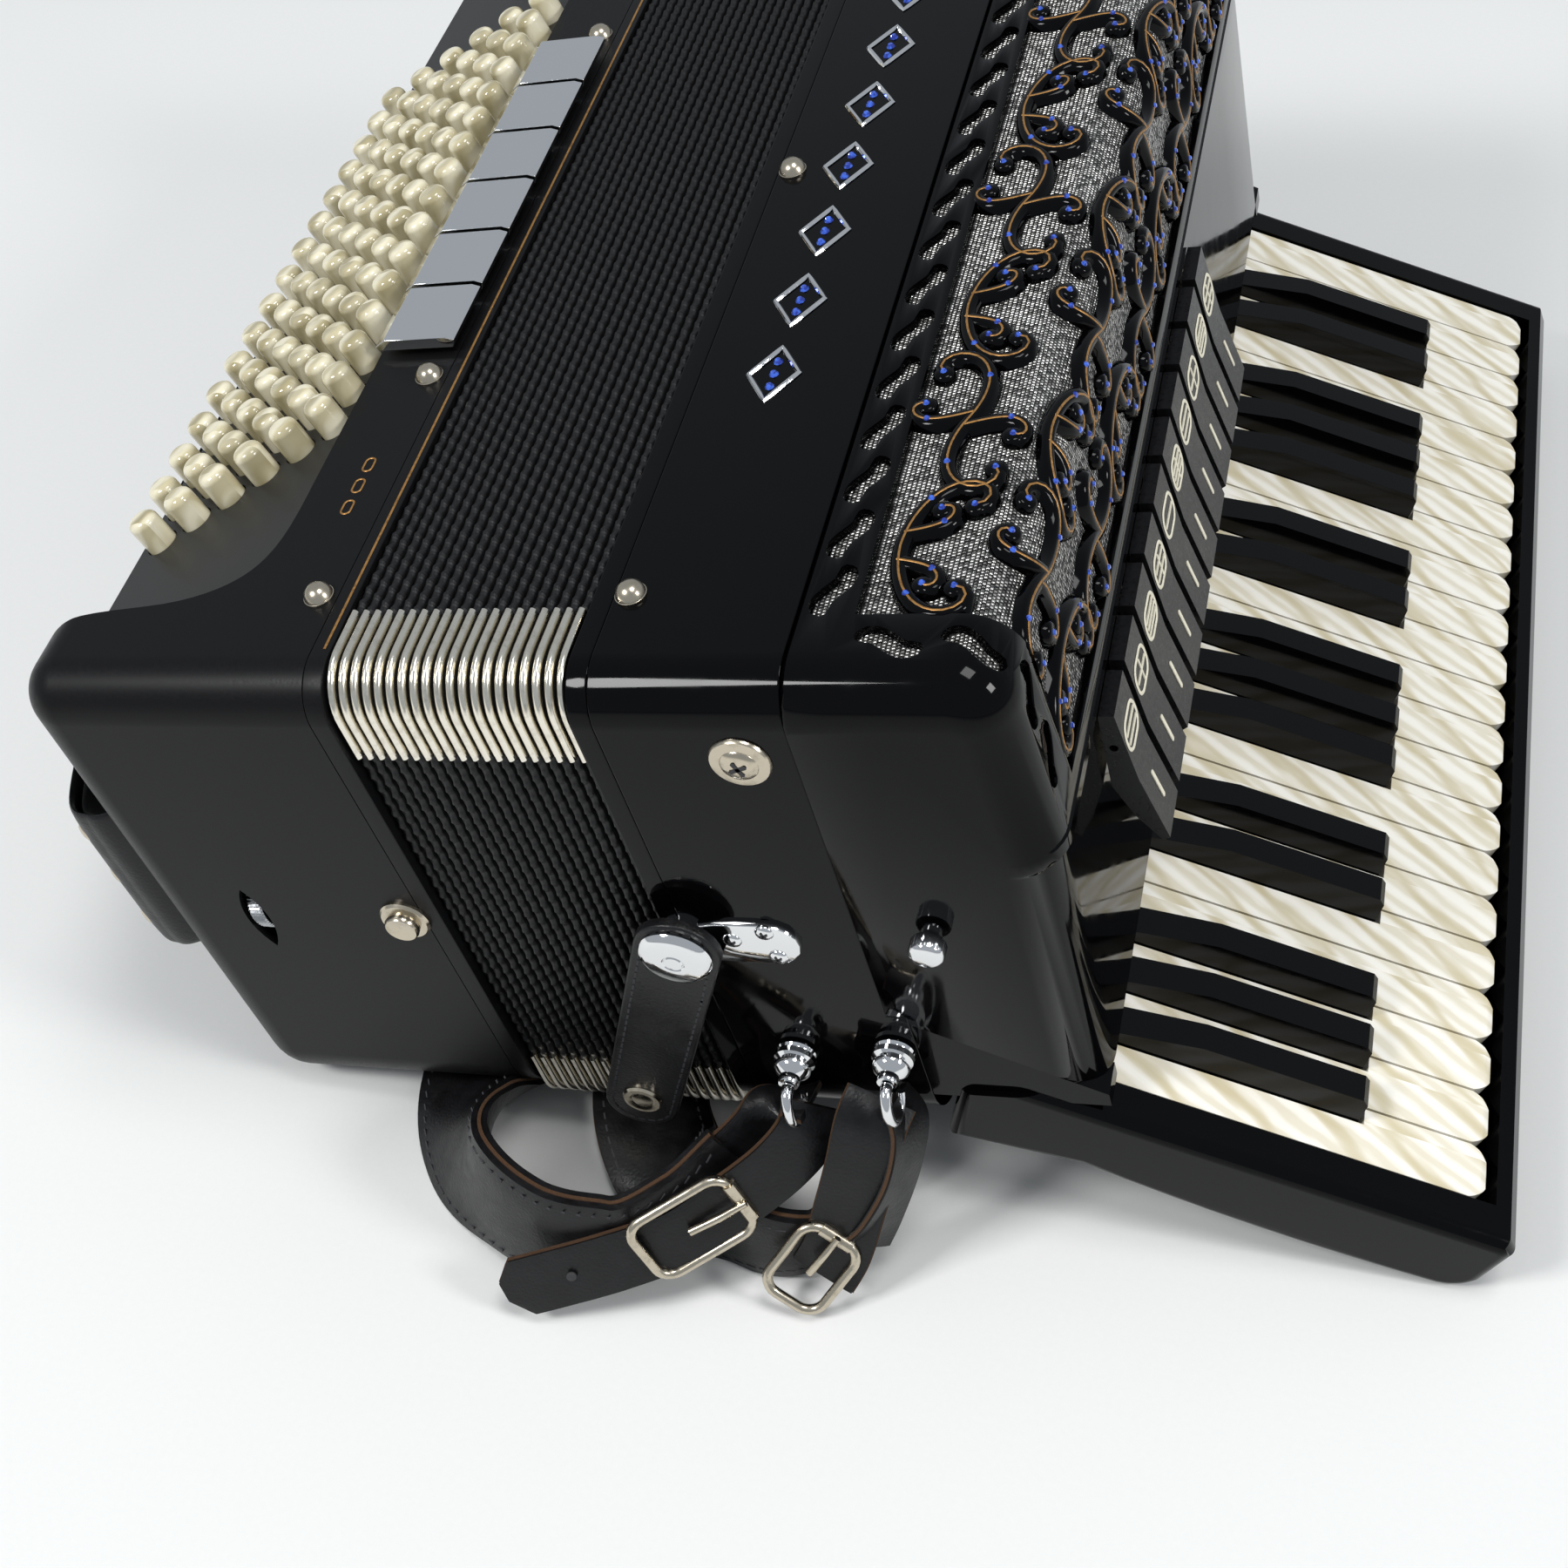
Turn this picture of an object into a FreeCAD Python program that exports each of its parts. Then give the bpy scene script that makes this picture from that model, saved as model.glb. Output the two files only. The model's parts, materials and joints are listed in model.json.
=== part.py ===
"""Piano accordion, 37 keys, lying on its back as it is put down on a table.

Every shape is drawn in the playing frame and then laid down by rest():
    x  from the bass side to the piano keys
    y  from the chin end (the low keys) to the far end
    z  from the player's chest to the front of the instrument
The origin of the playing frame is the outer end of the lowest white key's top.
Millimetres throughout.
"""
import FreeCAD, Part
import math
import os

Vector = FreeCAD.Vector

# ---------------------------------------------------------------- driving sizes
WHITE_COUNT = 22            # white keys, F to F
WHITE_PITCH = 19.0
KEY_GAP = 0.8
KEY_SLOPE = 27.0            # the key tops fall away from the cover
KEY_THICK = 11.0
KEY_LENGTH = 164.0
KEY_TO_AXLE = 152.0         # outer end of a white key to the key axle, along the key
AXLE_DEPTH = 5.0            # axle under the white key's top
AXLE_RADIUS = 1.5
BLACK_START = 42.0          # front of a black key, from the white keys' outer ends
BLACK_BEVEL = 96.0
BLACK_WIDTH = 10.6
BLACK_RISE = 10.0
SHARPS_AFTER = (0, 1, 2, 4, 5)      # F sharp, G sharp, A sharp, C sharp, D sharp

CHIN_Y = -12.0
FAR_Y = 430.0
FRONT_Z = 236.0
BACK_Z = 38.0
CASE_WALL = 6.0
CORNER_FRONT = 14.0
CORNER_BACK = 22.0

FOLD_COUNT = 20
FOLD_PITCH = 3.53
FOLD_DEPTH = 20.0
BELLOWS_RIGHT = -221.7
FRAME_DEPTH = 6.0
BELLOWS_CHIN_Y = -10.0
BELLOWS_BACK_Z = 36.0

TREBLE_RIGHT = -158.0
COVER_LEFT = -164.0
COVER_RIGHT = -104.0
COVER_WALL = 3.0
LAP_Z = 100.0               # the cover's lip laps the case above this height
SEAM_Z = 66.0               # cover and cheek meet here at the key side

BASS_LEFT = -393.0
BUTTON_SLOPE = 15.0
BUTTON_EDGE_X = -325.0
BUTTON_EDGE_DROP = 3.0
BUTTON_COLUMNS = 6
FIRST_COLUMN_X = -385.4
FIRST_BUTTON_Y = 68.0
BUTTON_ROWS = 16
BUTTON_PITCH = 15.0
BUTTON_STAGGER = 6.6
COLUMN_PITCH = 10.7
BUTTON_RADIUS = 4.9
BUTTON_PROUD = 11.0

TAB_COUNT = 10
TAB_PITCH = 21.4
TAB_WIDTH = 17.6
TAB_FIRST_Y = 47.6
TAB_AXLE = (-100.0, 150.0)    # x and z of the rod that the register tabs rock on
BASS_TAB_COUNT = 6
BASS_TAB_PITCH = 27.5
WHEEL_PLACE = (-356.5, 135.0)   # x and z of the hand strap's thumb wheel

# ------------------------------------------------------------- worked-out sizes
KEYBOARD = WHITE_COUNT * WHITE_PITCH
MIDDLE_Y = (CHIN_Y + FAR_Y) / 2
SIN_KEY = math.sin(math.radians(KEY_SLOPE))
COS_KEY = math.cos(math.radians(KEY_SLOPE))
SIN_BUTTON = math.sin(math.radians(BUTTON_SLOPE))
COS_BUTTON = math.cos(math.radians(BUTTON_SLOPE))
BELLOWS_LEFT = BELLOWS_RIGHT - FOLD_COUNT * FOLD_PITCH
BELLOWS_FAR_Y = 2 * MIDDLE_Y - BELLOWS_CHIN_Y
TREBLE_LEFT = BELLOWS_RIGHT + FRAME_DEPTH
BASS_RIGHT = BELLOWS_LEFT - FRAME_DEPTH

# The instrument rests on two rounded edges: the bass case's outer back edge and
# the keyboard's lower lip. Each is a circle in the x-z plane: x, z, radius.
BASS_HEEL = (BASS_LEFT + 14.0, BACK_Z + 14.0, 14.0)
KEY_LIP = (-12.0, -16.0, 13.0)


def rest_tilt():
    """Angle whose tangent line touches both resting circles from below."""
    run = KEY_LIP[0] - BASS_HEEL[0]
    fall = BASS_HEEL[1] - KEY_LIP[1]
    reach = math.hypot(run, fall)
    return math.atan2(fall, run) - math.asin((BASS_HEEL[2] - KEY_LIP[2]) / reach)


TILT = rest_tilt()
REST_DROP = KEY_LIP[0] * math.sin(TILT) + KEY_LIP[1] * math.cos(TILT) - KEY_LIP[2]


def rest(shape):
    """Lay a shape from the playing frame down on the table."""
    laid = shape.copy()
    laid.rotate(Vector(0, 0, 0), Vector(0, 1, 0), -math.degrees(TILT))
    laid.translate(Vector(0, 0, -REST_DROP))
    return laid


def footprint_centre(shapes):
    """Middle of the whole instrument's footprint, where the origin goes."""
    extent = FreeCAD.BoundBox()
    for shape in shapes:
        extent.add(shape.optimalBoundingBox())
    return extent.Center.x, extent.Center.y


def on_table(shape):
    """Bring a shape drawn in table coordinates back to the playing frame."""
    raised = shape.copy()
    raised.translate(Vector(0, 0, REST_DROP))
    raised.rotate(Vector(0, 0, 0), Vector(0, 1, 0), math.degrees(TILT))
    return raised


# ------------------------------------------------------------------ shape tools
def box(x0, x1, y0, y1, z0, z1):
    return Part.makeBox(x1 - x0, y1 - y0, z1 - z0, Vector(x0, y0, z0))


def rod(start, direction, radius, length):
    return Part.makeCylinder(radius, length, Vector(*start), Vector(*direction))


def prism_y(outline, y0, y1):
    """Extrude a closed x-z outline along y."""
    points = [Vector(x, y0, z) for x, z in outline]
    wire = Part.makePolygon(points + [points[0]])
    return Part.Face(wire).extrude(Vector(0, y1 - y0, 0))


def join(shapes):
    fused = shapes[0]
    if len(shapes) > 1:
        fused = fused.multiFuse(shapes[1:])
    return fused.removeSplitter()


def key_point(along, above):
    """A point on a key: distance in from its outer end and height over the top."""
    return (-along * COS_KEY + above * SIN_KEY, along * SIN_KEY + above * COS_KEY)


def rounded_bar(x0, x1, inset, front_radius, back_radius):
    """The case section: a rectangle in y-z with rounded corners, drawn along x."""
    y0 = CHIN_Y + inset
    y1 = FAR_Y - inset
    z0 = BACK_Z + inset
    z1 = FRONT_Z - inset
    corners = ((y0, z0, 180, back_radius), (y1, z0, 270, back_radius),
               (y1, z1, 0, front_radius), (y0, z1, 90, front_radius))
    edges = []
    ends = []
    for y, z, start, radius in corners:
        r = max(radius - inset, 1.0)
        centre_y = y0 + r if y == y0 else y1 - r
        centre_z = z0 + r if z == z0 else z1 - r
        arc = [Vector(x0, centre_y + r * math.cos(math.radians(start + turn)),
                      centre_z + r * math.sin(math.radians(start + turn)))
               for turn in (0, 45, 90)]
        edges.append(Part.Arc(*arc).toShape())
        ends.append((arc[0], arc[2]))
    outline = []
    for i in range(4):
        outline.append(edges[i])
        outline.append(Part.makeLine(ends[i][1], ends[(i + 1) % 4][0]))
    return Part.Face(Part.Wire(outline)).extrude(Vector(x1 - x0, 0, 0))


def curved_band(points, width, bottom, height):
    """A strip that follows a plan curve, standing on the table plane."""
    curve = Part.BSplineCurve()
    curve.interpolate([Vector(x, y, bottom) for x, y in points])
    first, last = curve.FirstParameter, curve.LastParameter
    sides = ([], [])
    steps = 4 * len(points)
    for i in range(steps + 1):
        at = first + (last - first) * i / steps
        along = curve.tangent(at)[0]
        across = Vector(-along.y, along.x, 0) * (width / 2)
        sides[0].append(curve.value(at) + across)
        sides[1].append(curve.value(at) - across)
    outline = []
    for side in sides:
        edge = Part.BSplineCurve()
        edge.interpolate(side)
        outline.append(edge.toShape())
    outline.append(Part.makeLine(sides[0][0], sides[1][0]))
    outline.append(Part.makeLine(sides[0][-1], sides[1][-1]))
    face = Part.Face(Part.Wire(Part.__sortEdges__(outline)))
    return face.extrude(Vector(0, 0, height))


def plank(start, end, height, thick):
    """A straight strap standing on edge between two points, sides vertical."""
    a = Vector(*start)
    b = Vector(*end)
    along = b - a
    across = Vector(-along.y, along.x, 0).normalize() * thick
    low = a - across / 2
    points = [low, low + along, low + along + Vector(0, 0, height), low + Vector(0, 0, height)]
    return Part.Face(Part.makePolygon(points + [points[0]])).extrude(across)


# ------------------------------------------------------------------- piano keys
def axle_hole(width, y0):
    x, z = key_point(KEY_TO_AXLE, -AXLE_DEPTH)
    return rod((x, y0 - 1, z), (0, 1, 0), AXLE_RADIUS + 0.1, width + 2)


def pallet_arm(centre_y, foot_z, half_width):
    """The lever behind the axle with the pallet that closes the reed holes."""
    arm = box(-150.5, -147.0, centre_y - 1.5, centre_y + 1.5, 64.0, foot_z + 12)
    pallet = box(TREBLE_RIGHT + 0.4, -149.5, centre_y - half_width, centre_y + half_width,
                 foot_z - 12, foot_z + 12)
    return [arm, pallet]


def white_key(index):
    y0 = index * WHITE_PITCH + KEY_GAP / 2
    y1 = y0 + WHITE_PITCH - KEY_GAP
    outline = [key_point(0.0, -KEY_THICK), key_point(0.0, -3.0), key_point(1.2, -0.8),
               key_point(3.6, 0.0), key_point(KEY_LENGTH, 0.0), key_point(KEY_LENGTH, -KEY_THICK)]
    key = prism_y(outline, y0, y1)
    nose = prism_y([key_point(-1, 2), key_point(9.5, 2), key_point(9.5, -13),
                    key_point(-1, -13)], y0 - 1, y1 + 1)
    # the outer end is rounded in plan
    x, z = key_point(9.5, 2)
    round_end = Part.makeCylinder(9.5, 16, Vector(x, (y0 + y1) / 2, z),
                                  Vector(-SIN_KEY, 0, -COS_KEY))
    key = key.cut(nose.cut(round_end))
    clear = BLACK_WIDTH / 2 + 0.5
    for edge, sharp in ((index * WHITE_PITCH, (index - 1) % 7 in SHARPS_AFTER and index > 0),
                        ((index + 1) * WHITE_PITCH,
                         index % 7 in SHARPS_AFTER and index < WHITE_COUNT - 1)):
        if sharp:
            notch = prism_y([key_point(BLACK_START - 1, 2), key_point(170, 2),
                             key_point(170, -13), key_point(BLACK_START - 1, -13)],
                            edge - clear, edge + clear)
            key = key.cut(notch)
    centre = (y0 + y1) / 2
    key = join([key] + pallet_arm(centre, 150.0, 8.0))
    return key.cut(axle_hole(y1 - y0, y0))


def black_key(index):
    edge = (index + 1) * WHITE_PITCH
    y0 = edge - BLACK_WIDTH / 2
    y1 = edge + BLACK_WIDTH / 2
    outline = [key_point(BLACK_START, -KEY_THICK), key_point(BLACK_START + 1.4, BLACK_RISE - 2),
               key_point(BLACK_START + 3.5, BLACK_RISE), key_point(BLACK_BEVEL, BLACK_RISE),
               key_point(122.0, 4.5), key_point(KEY_LENGTH, 2.0), key_point(KEY_LENGTH, -KEY_THICK)]
    body = prism_y(outline, y0, y1)
    # the top is narrower than the foot
    x, z = key_point(BLACK_START, BLACK_RISE)
    for side, y in ((-1, y0), (1, y1)):
        top = [Vector(*p) for p in
               ((key_point(30, BLACK_RISE + 1)[0], y - side * 0.9, key_point(30, BLACK_RISE + 1)[1]),
                (key_point(30, BLACK_RISE + 1)[0], y + side, key_point(30, BLACK_RISE + 1)[1]),
                (key_point(30, 0.5)[0], y + side, key_point(30, 0.5)[1]),
                (key_point(30, 0.5)[0], y, key_point(30, 0.5)[1]))]
        shave = Part.Face(Part.makePolygon(top + [top[0]]))
        end = Vector(key_point(170, 0)[0] - key_point(30, 0)[0], 0,
                     key_point(170, 0)[1] - key_point(30, 0)[1])
        body = body.cut(shave.extrude(end))
    key = join([body] + pallet_arm(edge, 108.0, 6.5))
    return key.cut(axle_hole(BLACK_WIDTH, y0))


def key_axle():
    x, z = key_point(KEY_TO_AXLE, -AXLE_DEPTH)
    return rod((x, -9.0, z), (0, 1, 0), AXLE_RADIUS, KEYBOARD + 18)


# ------------------------------------------------------------- keyboard section
def keyboard_frame():
    """Bed under the keys, with a cheek at each end and a lip round the key ends."""
    lip_x, lip_z, lip_r = KEY_LIP
    top_in = key_point(164.0, 1.0)
    top_out = key_point(-6.5, 1.0)
    outline = [Vector(top_in[0], CHIN_Y - 2, top_in[1]),
               Vector(top_out[0], CHIN_Y - 2, top_out[1]),
               Vector(7.5, CHIN_Y - 2, -8.0)]
    low_out = Vector(lip_x + lip_r * math.cos(math.radians(-40)), CHIN_Y - 2,
                     lip_z + lip_r * math.sin(math.radians(-40)))
    bottom = Vector(lip_x, CHIN_Y - 2, lip_z - lip_r)
    low_in = Vector(lip_x + lip_r * math.cos(math.radians(-115)), CHIN_Y - 2,
                    lip_z + lip_r * math.sin(math.radians(-115)))
    heel = Vector(-118.0, CHIN_Y - 2, 27.0)
    back = Vector(-157.5, CHIN_Y - 2, BACK_Z + 1.0)
    belly = Part.Arc(low_in, Vector(-66.0, CHIN_Y - 2, -4.5), heel).toShape()
    edges = [Part.makeLine(outline[0], outline[1]), Part.makeLine(outline[1], outline[2]),
             Part.makeLine(outline[2], low_out), Part.Arc(low_out, bottom, low_in).toShape(),
             belly, Part.makeLine(heel, back), Part.makeLine(back, outline[0])]
    body = Part.Face(Part.Wire(edges)).extrude(Vector(0, FAR_Y - CHIN_Y + 4, 0))
    long_edges = []
    for edge in body.Edges:
        middle = edge.valueAt((edge.FirstParameter + edge.LastParameter) / 2)
        at_side = abs(middle.y - (CHIN_Y - 2)) < 0.01 or abs(middle.y - (FAR_Y + 2)) < 0.01
        if at_side and middle.x > -156.0:
            long_edges.append(edge)
    body = body.makeFillet(4.5, long_edges)
    # the keys lie in a channel, deep enough for their thickness and their dip
    channel = prism_y([key_point(-1.6, 3.0), key_point(-1.6, -19.0), key_point(169.0, -19.0),
                       key_point(169.0, 3.0)], -0.5, KEYBOARD + 0.5)
    body = body.cut(channel)
    # the cheeks rise under the cover's end walls to meet them on a sloping seam
    body = body.cut(box(-170, COVER_RIGHT + 0.3, CHIN_Y - 3, FAR_Y + 3, 64.0, 120.0))
    rise = [(TREBLE_RIGHT + 0.2, 60.0), (TREBLE_RIGHT + 0.2, LAP_Z - 3.8),
            (COVER_RIGHT - 0.2, SEAM_Z - 0.3), (COVER_RIGHT - 0.2, 60.0)]
    cheeks = [prism_y(rise, CHIN_Y, -0.6), prism_y(rise, KEYBOARD + 0.6, FAR_Y)]
    x, z = key_point(KEY_TO_AXLE, -AXLE_DEPTH)
    seat = rod((x, -9.2, z), (0, 1, 0), AXLE_RADIUS + 0.02, KEYBOARD + 18.4)
    return join([body] + cheeks).cut(seat)


# --------------------------------------------------------------- treble section
def treble_case():
    """The wooden case behind the cover, open to the bellows, with reed holes."""
    outer = rounded_bar(TREBLE_LEFT, TREBLE_RIGHT, 0, CORNER_FRONT, CORNER_BACK)
    inner = rounded_bar(TREBLE_LEFT - 1, TREBLE_RIGHT - 6, CASE_WALL, CORNER_FRONT, CORNER_BACK)
    case = outer.cut(inner)
    # above the axle the case steps back so that the cover's lip can lap it
    rebate = rounded_bar(COVER_LEFT, TREBLE_RIGHT + 1, 0, CORNER_FRONT, CORNER_BACK)
    core = rounded_bar(COVER_LEFT - 1, TREBLE_RIGHT + 2, COVER_WALL + 0.3,
                       CORNER_FRONT, CORNER_BACK)
    rebate = rebate.cut(core).common(box(COVER_LEFT, -150, -40, 460, LAP_Z, 300))
    case = case.cut(rebate)
    holes = []
    for i in range(WHITE_COUNT):
        y = (i + 0.5) * WHITE_PITCH
        holes.append(box(-170, -150, y - 5.0, y + 5.0, 141, 159))
    for i in sharp_gaps():
        y = (i + 1) * WHITE_PITCH
        holes.append(box(-170, -150, y - 4.0, y + 4.0, 99, 117))
    return case.cut(Part.makeCompound(holes))


def sharp_gaps():
    return [i for i in range(WHITE_COUNT - 1) if i % 7 in SHARPS_AFTER]


def cover_outline(inset):
    """x-z outline of the cover: front face, shoulder, steep grille and key-side face."""
    front = FRONT_Z - inset
    right = COVER_RIGHT - inset
    outline = [(COVER_LEFT, 62.0 - 4 * inset), (COVER_LEFT, front)]
    radius = 16.0
    for turn in range(90, -1, -10):
        outline.append((right - 2 - radius + radius * math.cos(math.radians(turn)),
                        front - radius + radius * math.sin(math.radians(turn))))
    outline += [(right + 1.5, 172.0), (right + 1.5, 166.5), (right, 165.0),
                (right, 62.0 - 4 * inset)]
    return outline


def grille_cover():
    """Shell over the pallets; its lip laps the case and its foot clears the keys."""
    outer = prism_y(cover_outline(0), CHIN_Y, FAR_Y)
    corner = rounded_bar(COVER_LEFT - 1, COVER_RIGHT + 5, 0, CORNER_FRONT, 1.0)
    outer = outer.common(corner)
    inner = prism_y(cover_outline(COVER_WALL), CHIN_Y + COVER_WALL, FAR_Y - COVER_WALL)
    shell = outer.cut(inner)
    shell = shell.cut(box(COVER_LEFT - 1, TREBLE_RIGHT + 0.1, CHIN_Y + COVER_WALL,
                          FAR_Y - COVER_WALL, 40, FRONT_Z - COVER_WALL))
    openings = []
    for i in range(14):
        y = 14 + i * 29.3
        openings.append(box(-150, -122, y, y + 22, 220, 240))
        openings.append(box(-110, -95, y, y + 22, 178, 208))
    shell = shell.cut(Part.makeCompound(openings))
    shell = join([shell] + register_axle())
    # clearance over the cheeks and the black keys
    seam = [(COVER_LEFT - 5, 40.0), (COVER_LEFT - 5, LAP_Z + 0.3),
            (TREBLE_RIGHT + 0.1, LAP_Z + 0.3), (TREBLE_RIGHT + 0.1, LAP_Z - 3.5),
            (COVER_RIGHT + 1, SEAM_Z - 0.6), (COVER_RIGHT + 1, 40.0)]
    return shell.cut(prism_y(seam, CHIN_Y - 1, FAR_Y + 1))


def ring_frame(x0, x1):
    """A bellows frame: a rectangular ring of the case's section."""
    outer = rounded_bar(x0, x1, 0, CORNER_FRONT, CORNER_BACK)
    inner = rounded_bar(x0 - 1, x1 + 1, 14.0, CORNER_FRONT, CORNER_BACK)
    return outer.cut(inner)


def reed_blocks(x0, x1, count, z_first, z_step):
    """Wooden reed blocks standing on the soundboard, each with its chambers."""
    blocks = []
    for i in range(count):
        z = z_first + i * z_step
        blocks.append(box(x0, x1, 14, 404, z, z + z_step * 0.62))
    return Part.makeCompound(blocks)


def register_tab(index):
    """A rocker with a flat cap and a bent foot that stands over the keys."""
    y0 = TAB_FIRST_Y + index * TAB_PITCH
    outline = [(-102.7, 163.0), (-98.2, 163.0), (-94.6, 137.0), (-88.6, 111.5),
               (-90.6, 110.0), (-97.5, 121.0), (-102.7, 134.0)]
    tab = prism_y(outline, y0, y0 + TAB_WIDTH)
    return tab.cut(rod((TAB_AXLE[0], y0 - 1, TAB_AXLE[1]), (0, 1, 0), 1.3, TAB_WIDTH + 2))


def register_axle():
    """Rod that the tabs rock on, held by a lug at each end."""
    x, z = TAB_AXLE
    y0 = TAB_FIRST_Y - 5.0
    length = TAB_COUNT * TAB_PITCH + 6.2
    pieces = [rod((x, y0, z), (0, 1, 0), 1.2, length)]
    for y in (y0, y0 + length - 3.0):
        pieces.append(box(COVER_RIGHT - 0.5, x + 2.4, y, y + 3.0, z - 3.5, z + 3.5))
    return pieces


def register_tabs():
    return Part.makeCompound([register_tab(i) for i in range(TAB_COUNT)])


def screw_head(x, z, y_face, side, radius, height):
    return rod((x, y_face, z), (0, side, 0), radius, height)


def end_fittings(y_face, side):
    """What is screwed to one end of the treble case; side is -1 at the chin."""
    washer = screw_head(-178.7, 211.0, y_face, side, 8.5, 1.5)
    screw = screw_head(-178.7, 211.0, y_face + side * 1.5, side, 5.2, 2.4)
    plate_y = sorted((y_face, y_face + side * 1.8))
    plate = box(-215.0, -188.0, plate_y[0], plate_y[1], 126.0, 143.0)
    plate = join([plate, screw_head(-188.0, 134.5, y_face, side, 8.5, 1.8)])
    rivets = [screw_head(x, z, y_face + side * 1.8, side, 2.6, 1.4)
              for x, z in ((-201.0, 136.0), (-191.0, 140.0), (-189.0, 130.0))]
    boss = screw_head(-215.7, 138.0, y_face, side, 6.5, 5.0)
    plate = join([plate, boss])
    pivot = join([screw_head(-215.7, 138.0, y_face + side * 5.0, side, 3.0, 4.4),
                  screw_head(-215.7, 138.0, y_face + side * 9.4, side, 11.0, 2.6)])
    hooks = []
    for x, z in ((-197.0, 78.0), (-165.6, 82.0)):
        collar = screw_head(x, z, y_face, side, 6.0, 6.5)
        neck = screw_head(x, z, y_face + side * 6.5, side, 3.2, 5.0)
        ring = Part.makeTorus(6.0, 1.6, Vector(x, y_face + side * 13.0, z - 6.5), Vector(1, 0, 0.2))
        hooks.append(join([collar, neck, ring]))
    return [washer, screw, plate, pivot] + rivets + hooks


def treble_fittings():
    pieces = end_fittings(CHIN_Y, -1) + end_fittings(FAR_Y, 1)
    for y in (23.0, MIDDLE_Y, FAR_Y + CHIN_Y - 23.0):
        pieces.append(Part.makeSphere(4.2, Vector(-211.0, y, FRONT_Z), Vector(0, 0, 1), 0, 90, 360))
    return Part.makeCompound(pieces)


def cover_screws():
    """Knurled thumb screws that hold the cover at each end."""
    return [screw_head(-143.0, 140.0, CHIN_Y, -1, 5.0, 8.0),
            screw_head(-143.0, 140.0, FAR_Y, 1, 5.0, 8.0)]


def bellows_strap(y_face, side):
    """Leather strap with a press snap, hung from its pivot button."""
    lean = math.radians(23.9)
    length = 89.0
    top = Vector(-215.7, y_face + side * 5.4, 138.0)
    foot = top + Vector(-length * math.sin(lean), 0, -length * math.cos(lean))
    down = (foot - top).normalize()
    across = Vector(-down.z, 0, down.x)
    outline = []
    for centre, start, radius in ((top, 0, 13.0), (foot, 180, 12.0)):
        arc = [centre + across * radius * math.cos(math.radians(start + turn))
               - down * radius * math.sin(math.radians(start + turn)) for turn in (0, 90, 180)]
        outline.append(arc)
    edges = [Part.Arc(*outline[0]).toShape(), Part.makeLine(outline[0][2], outline[1][0]),
             Part.Arc(*outline[1]).toShape(), Part.makeLine(outline[1][2], outline[0][0])]
    strap = Part.Face(Part.Wire(edges)).extrude(Vector(0, side * 3.2, 0))
    strap = strap.cut(rod((top.x, y_face, top.z), (0, side, 0), 3.1, 20))
    snap = rod((foot.x, foot.y + side * 3.2, foot.z), (0, side, 0), 6.5, 1.6)
    return Part.makeCompound([strap, snap])


def shoulder_strap_a():
    """Outer padded strap: from the rear hook, round on the table and under the bass."""
    under = curved_band([(-296, -46), (-314, -28), (-319, 12), (-314, 110), (-301, 230),
                         (-283, 330), (-262, 400)], 42, 0.5, 4.0)
    standing = curved_band([(-233, -41), (-248, -55), (-270, -63), (-292, -59), (-311, -40)],
                           8, 6.5, 40)
    heel = curved_band([(-300, -54), (-312, -38)], 8, 3.0, 6.0)
    pad = join([under, standing, heel])
    rise = plank((-228.0, -37.0, 26), (-209.2, -29.0, 40), 18, 3)
    tail = plank((-246.0, -66.0, 18), (-292.0, -79.0, 5), 22, 3)
    buckle = plank((-217.0, -48.5, 32), (-250.0, -65.5, 20), 22, 2.6)
    buckle = buckle.cut(plank((-220.5, -50.3, 35), (-246.5, -63.7, 25.5), 14, 8))
    far_run = curved_band([(-262, 400.5), (-262, 441)], 26, 0.5, 4)
    far_rise = plank((-262.0, 445.0, 1), (-211.0, 449.0, 38), 22, 3)
    return on_table(Part.makeCompound([pad, rise, tail, buckle, far_run, far_rise]))


def shoulder_strap_b():
    """Inner padded strap: from the front hook, round on the table, under the bellows."""
    under = curved_band([(-222, -42), (-240, -30), (-260, -4), (-269, 30), (-272, 110),
                         (-256, 230), (-234, 330), (-212, 400)], 34, 0.5, 5.0)
    standing = curved_band([(-189, -42), (-204, -46), (-221, -43.5)], 8, 0.5, 29)
    pad = join([under, standing])
    rise = plank((-187.0, -37.0, 24), (-179.5, -29.0, 40), 24, 3)
    buckle = plank((-181.0, -48.5, 12), (-199.0, -53.0, 5), 20, 2.4)
    far_run = curved_band([(-212, 400.5), (-206, 441)], 26, 0.5, 4)
    far_rise = plank((-206.0, 445.0, 1), (-181.0, 449.0, 45), 22, 3)
    return on_table(Part.makeCompound([pad, rise, buckle, far_run, far_rise]))


# --------------------------------------------------------------------- bellows
def bellows_folds():
    """Twenty folds of card and cloth between the two frames, drawn closed."""
    y0, y1 = BELLOWS_CHIN_Y, BELLOWS_FAR_Y
    z0, z1 = BELLOWS_BACK_Z, FRONT_Z
    outer = box(BELLOWS_LEFT + 0.2, BELLOWS_RIGHT - 0.2, y0, y1, z0, z1)
    edges = [e for e in outer.Edges if abs(e.Vertexes[0].X - e.Vertexes[1].X) > 1]
    outer = outer.makeFillet(CORNER_FRONT, edges)
    inner = box(BELLOWS_LEFT - 1, BELLOWS_RIGHT + 1, y0 + FOLD_DEPTH, y1 - FOLD_DEPTH,
                z0 + FOLD_DEPTH, z1 - FOLD_DEPTH)
    return outer.cut(inner)


# ----------------------------------------------------------------- bass section
def plate_z(x):
    """Height of the sloping button plate's top at x."""
    return FRONT_Z - BUTTON_EDGE_DROP + (x - BUTTON_EDGE_X) * math.tan(math.radians(BUTTON_SLOPE))


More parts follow.
